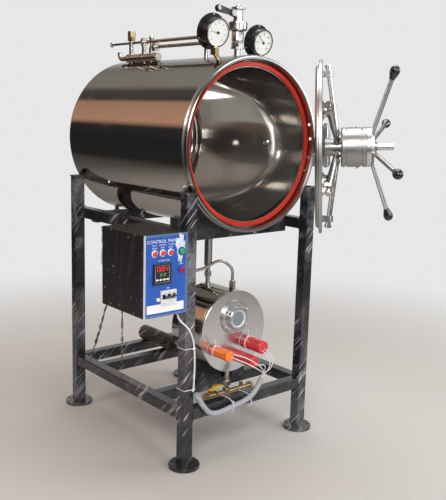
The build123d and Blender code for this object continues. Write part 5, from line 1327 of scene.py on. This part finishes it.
class AUTOCLAVE_OT_panel(bpy.types.Operator):
    """Words, blank strip, torn and peeled film, lamp rims, bezels and screws of the control box"""

    bl_idname = "autoclave.panel"
    bl_label = "Panel"

    PRINT_LIFT, LAMP_INSET = 0.2, 8.5
    LAMP_LABELS = ("MAINS", "HEAT", "LEVEL")
    RIM = ((8.6, 0), (11.0, 0), (11.0, 1.6), (9.6, 3.0), (8.6, 3.0), (8.6, 0))
    BUTTON_BEZEL = ((0, 0), (11.5, 0), (11.5, 1.2), (10.2, 2.4), (0, 2.4))
    STRIP_HEIGHT, STRIP_THICK, STRIP_MARGIN, STRIP_RISE = 26.0, 0.5, 10.0, 19.0
    PATCH_HALF, PATCH_PLACE, PATCH_THICK = (23.0, 43.0), (20.5, 0.3, 43.0), 0.0002
    SCREWS = (  # y and z from an edge of the box, and which edges they are
        (-51, -4, "high", "high"), (49, -4, "low", "high"), (-10, -51, "high", "high"),
        (10, -52, "low", "high"), (-13, 58, "high", "low"), (8, 59, "low", "low"),
        (-48, 13, "high", "low"), (52, 10, "low", "low"),
    )
    PEEL_LENGTH, PEEL_THICK = 128.0, 0.5

    def execute(self, context):
        case, panel = Box("control_box"), Box("control_panel")
        start, stop, lamps = Box("button_start"), Box("button_stop"), Box("lamps")
        face = case.low[1]
        lamp_z = start.middle[2]
        lamp_xs = np.linspace(lamps.low[0] + self.LAMP_INSET, lamps.high[0] - self.LAMP_INSET, 3)
        self.make_words(face, panel, lamp_xs, start, stop)
        strip_width = panel.high[0] - panel.low[0] - self.STRIP_MARGIN
        strip = slab(strip_width, self.STRIP_HEIGHT, self.STRIP_THICK, 1.0, 0.2)
        strip_place = (panel.middle[0], face, panel.low[2] + self.STRIP_RISE)
        make_piece("blank_strip", [set_flat(strip, strip_place)], "white")
        rims = [set_flat(lathe(self.RIM, 32), (x, face, lamp_z)) for x in lamp_xs]
        make_piece("lamp_rims", rims, "white")
        self.make_torn_film(panel.high, face)
        self.make_screws(case)
        self.make_peeled_film(case.low, case.high)
        bezels = [set_flat(lathe(self.BUTTON_BEZEL, 32), (button.middle[0], face, button.middle[2]))
                  for button in (start, stop)]
        make_piece("button_bezels", bezels, "bolt")
        return {"FINISHED"}

    def make_words(self, face, panel, lamp_xs, start, stop):
        """Printed words: a heading, and small labels over the lamps, buttons, display and breaker."""
        dials = settings()[2]
        middle, top = panel.middle[0], panel.high[2]
        label, button_x, row = dials.label, start.middle[0], start.middle[2]
        breaker = Box("breaker")
        words = [
            ("CONTROL PANEL", dials.heading, middle - 10, top - 14),
            ("STEAM    HEATING    WATER", label, middle - 12, top - 25),
            *((word, label, x, row + 16) for x, word in zip(lamp_xs, self.LAMP_LABELS)),
            ("START", label, button_x, row + 18),
            ("STOP", label, button_x, stop.middle[2] + 18),
            ("TEMPERATURE", label, middle - 8, Box("controller").high[2] + 7),
            ("ON", label, breaker.middle[0], breaker.high[2] + 6),
        ]
        entries = [(word, height, (x, face - self.PRINT_LIFT, z)) for word, height, x, z in words]
        lettering("panel_words", entries, "print")

    def make_torn_film(self, corner, face):
        """Torn white film in the corner: its edge runs at a radius that wavers with the angle, wide at the
        top and drawn in to a tail at the bottom."""
        turn = np.linspace(0, 2 * pi, 96, endpoint=False)
        reach = 1 + 0.12 * np.sin(5 * turn + 0.8) + 0.1 * np.sin(11 * turn + 2.0) + 0.06 * np.sin(23 * turn)
        shares = np.array([0.0, 0.35, 0.7, 1.0])[:, None]
        up = np.sin(turn) * reach
        across = np.cos(turn) * reach * (0.66 + 0.34 * np.sin(turn))
        lift = 0.35 + 0.2 * np.sin(7 * turn) * shares
        half_width, half_height = self.PATCH_HALF
        grid = np.stack([half_width * shares * across, half_height * shares * up, lift], axis=-1)
        in_x, off, down = self.PATCH_PLACE
        patch = set_flat(skin(grid), (corner[0] - in_x, face - off, corner[2] - down))
        piece = make_piece("film_scrap", [patch], "film")
        solid = piece.modifiers.new("thickness", "SOLIDIFY")
        solid.thickness = self.PATCH_THICK

    def make_screws(self, case):
        """Dome screws along the side of the box, each measured from two of its edges."""
        head = dome_head(settings()[1].box_screw, 0.7)
        screws = []
        for y, z, end, level in self.SCREWS:
            place = (case.low[0] + 0.2, getattr(case, end)[1] + y, getattr(case, level)[2] + z)
            screws.append(set_at(head, place, (-1, 0, 0)))
        make_piece("box_screws", screws, "bolt")

    def make_peeled_film(self, low, high):
        """Film peeled off the back edge of the box: a thin strip whose free edge wavers by two sines."""
        down = np.linspace(0, 1, 40)
        reach = 7.0 + 2.4 * np.sin(9 * down + 1.0) + 1.6 * np.sin(23 * down)
        sway = 1.6 + 1.2 * np.sin(14 * down)
        z = high[2] - 1.0 - self.PEEL_LENGTH * down
        inner = np.stack([low[0] + 0.6 + 0 * down, high[1] - 2.0 + 0 * down, z], axis=-1)
        outer = np.stack([low[0] + sway, high[1] + reach, z - 1.0], axis=-1)
        thick = np.array([self.PEEL_THICK, 0.0, 0.0])
        strip = skin(np.stack([inner, outer, outer + thick, inner + thick], axis=1))
        make_piece("peeled_film", [strip], "film")


class AUTOCLAVE_OT_controller(bpy.types.Operator):
    """Digits, keys and outline of the temperature controller"""

    bl_idname = "autoclave.controller"
    bl_label = "Controller"

    SEGMENTS = {"0": "abcdef", "1": "bc", "2": "abged", "4": "fgbc", "5": "afgcd", "8": "abcdefg"}
    BARS = {
        "a": ((0, 1), (1, 1)), "b": ((1, 1), (1, 0.5)), "c": ((1, 0.5), (1, 0)), "d": ((0, 0), (1, 0)),
        "e": ((0, 0.5), (0, 0)), "f": ((0, 1), (0, 0.5)), "g": ((0, 0.5), (1, 0.5)),
    }
    SINK, RED_DROP, GREEN_DROP, GREEN_SHARE = 2.0, 17.0, 34.0, 0.62
    KEY_INSET, KEY_RISE = 13.0, 15.0
    LINE_DROP, LINE_HALF = 32.0, 25.5
    WIDTH, PITCH, SLANT, THICK, GAP = 0.52, 1.5, 0.12, 0.14, 0.09

    def execute(self, context):
        node = Box("controller")
        middle, top = node.middle[0], node.high[2]
        face = node.low[1] + self.SINK
        height = settings()[2].digit
        self.make_row("red_figures", "0804", (middle, face, top - self.RED_DROP), height, "red_digit")
        self.make_row("green_figures", "1210", (middle, face, top - self.GREEN_DROP),
                      height * self.GREEN_SHARE, "green_digit")
        key_xs = np.linspace(node.low[0] + self.KEY_INSET, node.high[0] - self.KEY_INSET, 4)
        keys = [set_flat(slab(9.0, 5.0, 1.2, 1.2), (x, face, node.low[2] + self.KEY_RISE)) for x in key_xs]
        make_piece("controller_keys", keys, "white")
        centre = np.array([middle, face - 0.2, top - self.LINE_DROP])
        corners = [centre + (x * self.LINE_HALF, 0.0, z * self.LINE_HALF)
                   for x, z in ((-1, -1), (1, -1), (1, 1), (-1, 1))]
        edge = [bar_between(a, b, 0.4, 0.7) for a, b in zip(corners, corners[1:] + corners[:1])]
        make_piece("controller_line", edge, "grey")
        return {"FINISHED"}

    def make_row(self, name, figures, centre, height, look):
        """Row of seven-segment figures, each segment a thin bar, leaning a little."""
        width = height * self.WIDTH
        pitch = width * self.PITCH
        shapes = []
        for index, figure in enumerate(figures):
            left = (index - len(figures) / 2) * pitch + (pitch - width) / 2
            for segment in self.SEGMENTS[figure]:
                start, end = [
                    np.array([centre[0] + left + width * u + self.SLANT * height * (v - 0.5),
                              centre[1] - 0.3, centre[2] + height * (v - 0.5)])
                    for u, v in self.BARS[segment]]
                gap = (end - start) * self.GAP
                shapes.append(bar_between(start + gap, end - gap, 0.4, self.THICK * height))
        make_piece(name, shapes, look)


class AUTOCLAVE_OT_breaker(bpy.types.Operator):
    """Fins between the poles, windows and terminal screws of the breaker"""

    bl_idname = "autoclave.breaker"
    bl_label = "Breaker"

    def execute(self, context):
        node = Box("breaker")
        face, bottom, top = node.low[1], node.low[2], node.high[2]
        pole = (node.high[0] - node.low[0]) / 3
        poles = np.linspace(node.low[0] + pole / 2, node.high[0] - pole / 2, 3)
        fin = slab(1.6, 10.0, 2.0, 0.7)
        fins = [set_flat(fin, (node.middle[0] + side * pole / 2, face, bottom + 8)) for side in (-1, 1)]
        fins += [set_flat(slab(pole * 0.7, 6.0, 0.8, 1.0), (x, face, top - 5)) for x in poles]
        make_piece("breaker_fins", fins, "grey")
        windows = [set_flat(slab(pole * 0.66, 15.0, 0.3, 0.6, 0.1), (x, face, top - 18.5)) for x in poles]
        make_piece("breaker_windows", windows, "display")
        places = [place for x in poles for place in ((x, face - 0.6, top - 5), (x, face, bottom + 5))]
        screws = [set_flat(dome_head(2.4, 0.9), place) for place in places]
        make_piece("breaker_screws", screws, "bolt")
        return {"FINISHED"}


class AUTOCLAVE_OT_vessel_bolts(bpy.types.Operator):
    """Bolts in the rim, studs on the jacket, the port in the chamber and the nuts of the valve's lever"""

    bl_idname = "autoclave.vessel_bolts"
    bl_label = "Vessel bolts"

    RIM_HEIGHTS, RIM_Y = (68.0, 20.0, -42.0, -88.0), 18.0
    RIM_THICK = 21.0
    PORT_Y = 214.0
    PORT = ((5.0, -1), (13.0, -1), (13.0, 2.4), (11.0, 4.4), (6.0, 4.4), (5.0, 3.4), (5.0, -1))
    # y, height over the axis, radius
    STUDS = ((500.8, -151.4, JACKET_R), (42.8, -125.6, JACKET_R), (7.2, -116.0, RIM_R + 12.0))
    EYE_R, NUT_SINK = 11.0, 3.4

    def execute(self, context):
        size = settings()[1].rim_bolt
        rim = []
        for rise in self.RIM_HEIGHTS:
            place = np.array([sqrt(RIM_R ** 2 - rise ** 2), self.RIM_Y, AXIS_Z + rise])
            rim.append(set_at(hex_head(size, 4.0), place, (-place[0], 0.0, -rise)))
        make_piece("rim_bolts", rim, "bolt")
        chamber_r = RIM_R - self.RIM_THICK
        inwards = (-1, 0, 0)
        port = set_at(lathe(self.PORT, 32), (chamber_r - 0.3, self.PORT_Y, AXIS_Z), inwards)
        make_piece("chamber_port", [port], "ring")
        # A dark disc inside the port is painted shade in its opening
        hole = set_at(disc(5.2, 0.8), (chamber_r, self.PORT_Y, AXIS_Z), inwards)
        make_piece("port_hole", [hole], "hole")
        studs = []
        for y, rise, radius in self.STUDS:
            out = np.array([-sqrt(radius ** 2 - rise ** 2), 0.0, rise])
            studs.append(set_at(hex_head(9.0, 4.0), out + (0.0, y, AXIS_Z), out))
        make_piece("jacket_studs", studs, "bolt")
        lever = Box("valve_lever")
        x, z = lever.low[0] + self.EYE_R, lever.high[2] - self.EYE_R
        ends = ((lever.low[1] + self.NUT_SINK, -1), (lever.high[1] - self.NUT_SINK, 1))
        nuts = [set_at(hex_head(14.0, 4.0), (x, y, z), (0, way, 0)) for y, way in ends]
        make_piece("lever_nuts", nuts, "bolt", "valve_lever")
        return {"FINISHED"}


class AUTOCLAVE_OT_boiler_bolts(bpy.types.Operator):
    """Studs, nuts and bevelled edge of the sight glass"""

    bl_idname = "autoclave.boiler_bolts"
    bl_label = "Boiler bolts"

    ANGLES = (35.0, 145.0, 215.0, 325.0)
    FLANGE_SINK, STUD_INSET = 14.0, 9.5
    STUD = ((0, 0), (3.0, 0), (3.0, 12.0), (2.2, 13.0), (0, 13.0))
    BEVEL = ((0, 0), (-0.2, 3.6), (-1.6, 3.4), (-4.6, 0.2), (0, 0))

    def execute(self, context):
        size = settings()[1].stud_nut
        flange = Box("sight_flange")
        centre = np.array([flange.middle[0], flange.low[1] + self.FLANGE_SINK, flange.middle[2]])
        outwards = (0, -1, 0)
        shapes = []
        for angle in self.ANGLES:
            place = centre + ray(angle, flange.half[0] - self.STUD_INSET)
            shapes.append(set_at(bolt(size, 5.0), place, outwards, radians(angle)))
            shapes.append(set_at(lathe(self.STUD, 14), place, outwards))
        make_piece("sight_studs", shapes, "bolt")
        glass = Box("sight_glass")
        bevel = lathe([(glass.half[0] + inset, height) for inset, height in self.BEVEL], 48)
        place = (glass.middle[0], glass.low[1], glass.middle[2])
        make_piece("sight_bevel", [set_flat(bevel, place)], "film")
        return {"FINISHED"}


class AUTOCLAVE_OT_door_bolts(bpy.types.Operator):
    """Bolts in the guides' feet and the hinge strap, and screws in the drum"""

    bl_idname = "autoclave.door_bolts"
    bl_label = "Door bolts"

    GUIDE_R, FOOT_SIDE, FOOT_RISE = 219.0, 17.5, 4.0
    DOOR_FACE = 2.5
    STRAP_XS, STRAP_RISE = (170.0, 214.0), 19.0
    DRUM_R, DRUM_RISE, SCREW_SINK = 60.0, 105.0, 0.5

    def on_door(self, across, out, rise, angle):
        """Point over the shut door: across and out from its centre at an angle, and its rise off the
        face."""
        turn = radians(angle)
        x = out * sin(turn) + across * cos(turn)
        z = out * cos(turn) - across * sin(turn)
        return np.array([x, self.DOOR_FACE - rise, AXIS_Z + z])

    def execute(self, context):
        sizes = settings()[1]
        turn = door_turn()
        outwards = (0, -1, 0)
        foot_bolt, strap_bolt = hex_head(sizes.guide_bolt, 3.0), bolt(sizes.strap_bolt, 6.0)
        feet = [set_at(foot_bolt, self.on_door(side, self.GUIDE_R, self.FOOT_RISE, angle), outwards)
                for angle in range(0, 360, 60) for side in (-self.FOOT_SIDE, self.FOOT_SIDE)]
        feet += [set_at(strap_bolt, (x, self.DOOR_FACE - self.STRAP_RISE, AXIS_Z), outwards)
                 for x in self.STRAP_XS]
        make_piece("door_bolts", feet, "bolt", "door", turn)
        screws = []
        for angle, way in ((0.0, 1), (180.0, -1)):
            place = self.on_door(0.0, self.DRUM_R - self.SCREW_SINK, self.DRUM_RISE, angle)
            screws.append(set_at(hex_head(8.0, 5.0), place, (0, 0, way)))
        make_piece("drum_screws", screws, "bolt", "door", turn)
        return {"FINISHED"}


class AUTOCLAVE_OT_welds(bpy.types.Operator):
    """Weld beads where rails meet legs and legs meet the jacket"""

    bl_idname = "autoclave.welds"
    bl_label = "Welds"

    RIPPLE = 0.16
    SPACING = 1.6

    def ripple(self, path):
        """Bead along a closed path: its radius is the weld size times 1 + ripple |sin| of the distance."""
        sizes = settings()[1]
        gaps = np.linalg.norm(np.diff(path, axis=0, append=path[:1]), axis=1)
        run = np.cumsum(gaps)
        return bead(path, sizes.weld * (1 + self.RIPPLE * np.abs(np.sin(pi * run / sizes.weld_pitch))))

    def section(self):
        """Outline of the square tube with points at an even spacing."""
        outline = rounded_outline(TUBE, TUBE, TUBE_CORNER, 3)
        closed = np.vstack([outline, outline[:1]])
        gaps = np.linalg.norm(np.diff(closed, axis=0), axis=1)
        run = np.concatenate([[0], np.cumsum(gaps)])
        steps = np.linspace(0, run[-1], int(run[-1] / self.SPACING), endpoint=False)
        return np.stack([np.interp(steps, run, closed[:, k]) for k in range(2)], axis=-1)

    def loop(self, centre, axis):
        """Path round a rail's section, square to x or y."""
        across, up = self.section().T
        flat = np.zeros(len(up))
        offsets = (flat, across, up) if axis == "x" else (across, flat, up)
        return np.array(centre) + np.stack(offsets, axis=-1)

    def collar(self, name, sign):
        """Path round a leg's top where it meets the jacket: z = axis - sqrt(R^2 - x^2) at each point."""
        leg = Box(name)
        x, y = (self.section() + leg.middle[:2]).T
        z = AXIS_Z - np.sqrt(np.clip(JACKET_R ** 2 - x ** 2, 0.0, None))
        return np.stack([sign * x, y, np.minimum(z, leg.high[2])], axis=-1)

    def execute(self, context):
        cross, side = Box("cross_rails"), Box("side_rails")
        half = TUBE / 2
        levels = (cross.low[2] + half, side.high[2] - half)
        paths = [self.loop((x, y, levels[0]), "x")
                 for y in (cross.low[1] + half, cross.high[1] - half)
                 for x in (cross.low[0], cross.high[0])]
        paths += [self.loop((x, y, z), "y")
                  for x in (side.low[0] + half, side.high[0] - half)
                  for y in (side.low[1], side.high[1]) for z in levels]
        paths += [self.collar(leg, sign)
                  for sign in (-1, 1) for leg in ("leg_front_right", "leg_rear_right")]
        beads = [self.ripple(path) for path in paths]
        make_piece("frame_welds", beads, "posts", crease=60)
        return {"FINISHED"}


class AUTOCLAVE_OT_foot_holes(bpy.types.Operator):
    """Bolt holes in the foot discs: a dark disc in each, painted as the shade inside the hole, and a rim
    round it
    """

    bl_idname = "autoclave.foot_holes"
    bl_label = "Foot holes"

    HOLE_R, HOLE_CIRCLE, DISC_THICK = 4.5, 38.0, 12.0
    RIM_PROFILE = ((0, 0), (1.4, 0), (1.0, 0.6), (0, 0.6), (0, 0))

    def execute(self, context):
        rim = lathe([(self.HOLE_R + out, height) for out, height in self.RIM_PROFILE], 20)
        hole = disc(self.HOLE_R, 0.3)
        places = []
        for name in ("leg_front_left", "leg_front_right", "leg_rear_left", "leg_rear_right"):
            leg = Box(name)
            centre = np.array([leg.middle[0], leg.middle[1], leg.low[2] + self.DISC_THICK])
            for angle in (45.0, 135.0, 225.0, 315.0):
                turn = radians(angle)
                places.append(centre + self.HOLE_CIRCLE * np.array([cos(turn), sin(turn), 0.0]))
        # The dark discs are painted shade inside the bolt holes
        make_piece("foot_holes", [set_at(hole, place) for place in places], "hole")
        make_piece("foot_hole_rims", [set_at(rim, place) for place in places], "iron")
        return {"FINISHED"}


class AUTOCLAVE_OT_ties(bpy.types.Operator):
    """White ties round the sleeve, the leg and the heater caps"""

    bl_idname = "autoclave.ties"
    bl_label = "Ties"

    # x, z, radius
    CAP_TIES = ((45.0, 352.0, 23.8), (-104.0, 348.0, 18.8))
    CAP_TIE_Y = 44.0
    RAIL_TIES = (-92.0, -12.0)
    LEG_TIES = (402.0, 266.0)
    SLACK, CABLE_BULGE = 2.2, 3.4
    LOCK_WAY = (-0.4, 0.0, 0.92)
    TAIL = ((0, 0, 0), (-3, -5, 12), (-7, -9, 22), (-13, -11, 27))
    TAIL_RISE = 3.0

    def execute(self, context):
        """Every tie is a strap along a loop, with a square head on it."""
        sizes = settings()[1]
        width, thick = sizes.tie_width, sizes.tie_thick
        ties = []
        corner = Box("cross_rails").low
        for x in self.RAIL_TIES:
            ties.append(band(self.rail_loop(corner, x), width, thick))
            ties.append(self.lock((x, corner[1] - 21.0, corner[2] + TUBE - 6), (0, -0.6, 0.8)))
        centre = Box("leg_front_left").middle
        for z in self.LEG_TIES:
            ties.append(band(self.leg_loop(centre, z), width, thick))
            ties.append(self.lock((centre[0] + 8, centre[1] - TUBE / 2 - 5.5, z), (0, -1, 0)))
        for x, z, radius in self.CAP_TIES:
            middle = np.array([x, self.CAP_TIE_Y, z])
            ring = [middle + ray(angle, radius) for angle in np.linspace(0, 360, 40, endpoint=False)]
            lock = middle + radius * np.array(self.LOCK_WAY)
            tail = np.array(self.TAIL) + (lock + (0, 0, self.TAIL_RISE))
            ties += [band(ring, thick, width), self.lock(lock, self.LOCK_WAY),
                     band(tail, width, thick, closed=False)]
        make_piece("cable_ties", ties, "lead", crease=50)
        return {"FINISHED"}

    def rail_loop(self, corner, x):
        """Loop round the front rail and the sleeve that hangs before it, from the rail's low front edge."""
        y, z = corner[1], corner[2]
        outline = [(y - 21.5, z + 4), (y - 14, z - 5), (y + TUBE + 1.2, z - 1.4),
                   (y + TUBE + 1.2, z + TUBE + 1.2), (y - 2, z + TUBE + 1.2), (y - 15, z + TUBE - 4),
                   (y - 23.5, z + TUBE - 16)]
        return np.array([(x, a, b) for a, b in outline])

    def leg_loop(self, centre, z):
        """Loop round the leg, drawn forward over the cable at its right front corner."""
        outline = rounded_outline(TUBE + self.SLACK, TUBE + self.SLACK, 4.0) + centre[:2]
        over_cable = (outline[:, 1] < centre[1]) & (outline[:, 0] > centre[0])
        outline[:, 1] -= self.CABLE_BULGE * over_cable
        return np.column_stack([outline, np.full(len(outline), z)])

    def lock(self, place, way):
        """Square head of a tie."""
        return set_at(slab(6.0, 6.0, 4.0, 1.0, 0.6), place, way)


class AUTOCLAVE_PT_panel(bpy.types.Panel):
    """Steps that dress the autoclave"""

    bl_label = "Autoclave"
    bl_idname = "AUTOCLAVE_PT_panel"
    bl_space_type = "VIEW_3D"
    bl_region_type = "UI"
    bl_category = "Autoclave"

    def draw(self, context):
        for operator in OPERATORS:
            self.layout.operator(operator.bl_idname)
        for group in settings():
            box = self.layout.box()
            for name in group.bl_rna.properties.keys():
                if name not in ("rna_type", "name"):
                    box.prop(group, name)


OPERATORS = (
    AUTOCLAVE_OT_stage, AUTOCLAVE_OT_cords, AUTOCLAVE_OT_finish, AUTOCLAVE_OT_members,
    AUTOCLAVE_OT_chamber_corner, AUTOCLAVE_OT_film_straps, AUTOCLAVE_OT_safety_valve, AUTOCLAVE_OT_gauges,
    AUTOCLAVE_OT_panel, AUTOCLAVE_OT_controller, AUTOCLAVE_OT_breaker, AUTOCLAVE_OT_vessel_bolts,
    AUTOCLAVE_OT_boiler_bolts, AUTOCLAVE_OT_door_bolts, AUTOCLAVE_OT_welds, AUTOCLAVE_OT_foot_holes,
    AUTOCLAVE_OT_ties,
)
GROUPS = {
    "autoclave_colours": AutoclaveColours,
    "autoclave_fasteners": AutoclaveFasteners,
    "autoclave_dials": AutoclaveDials,
    "autoclave_studio": AutoclaveStudio,
}
CLASSES = (*GROUPS.values(), *OPERATORS, AUTOCLAVE_PT_panel)


def register():
    """Register the classes and hang the settings on the scene."""
    for item in CLASSES:
        bpy.utils.register_class(item)
    for name, group in GROUPS.items():
        setattr(bpy.types.Scene, name, bpy.props.PointerProperty(type=group))


def unregister():
    """Take the settings and classes away again."""
    for name in GROUPS:
        delattr(bpy.types.Scene, name)
    for item in reversed(CLASSES):
        bpy.utils.unregister_class(item)


def main():
    """Dress the whole object."""
    register()
    for operator in OPERATORS:
        group, step = operator.bl_idname.split(".")
        getattr(getattr(bpy.ops, group), step)()
    bpy.context.view_layer.update()


if __name__ == "__main__":
    main()
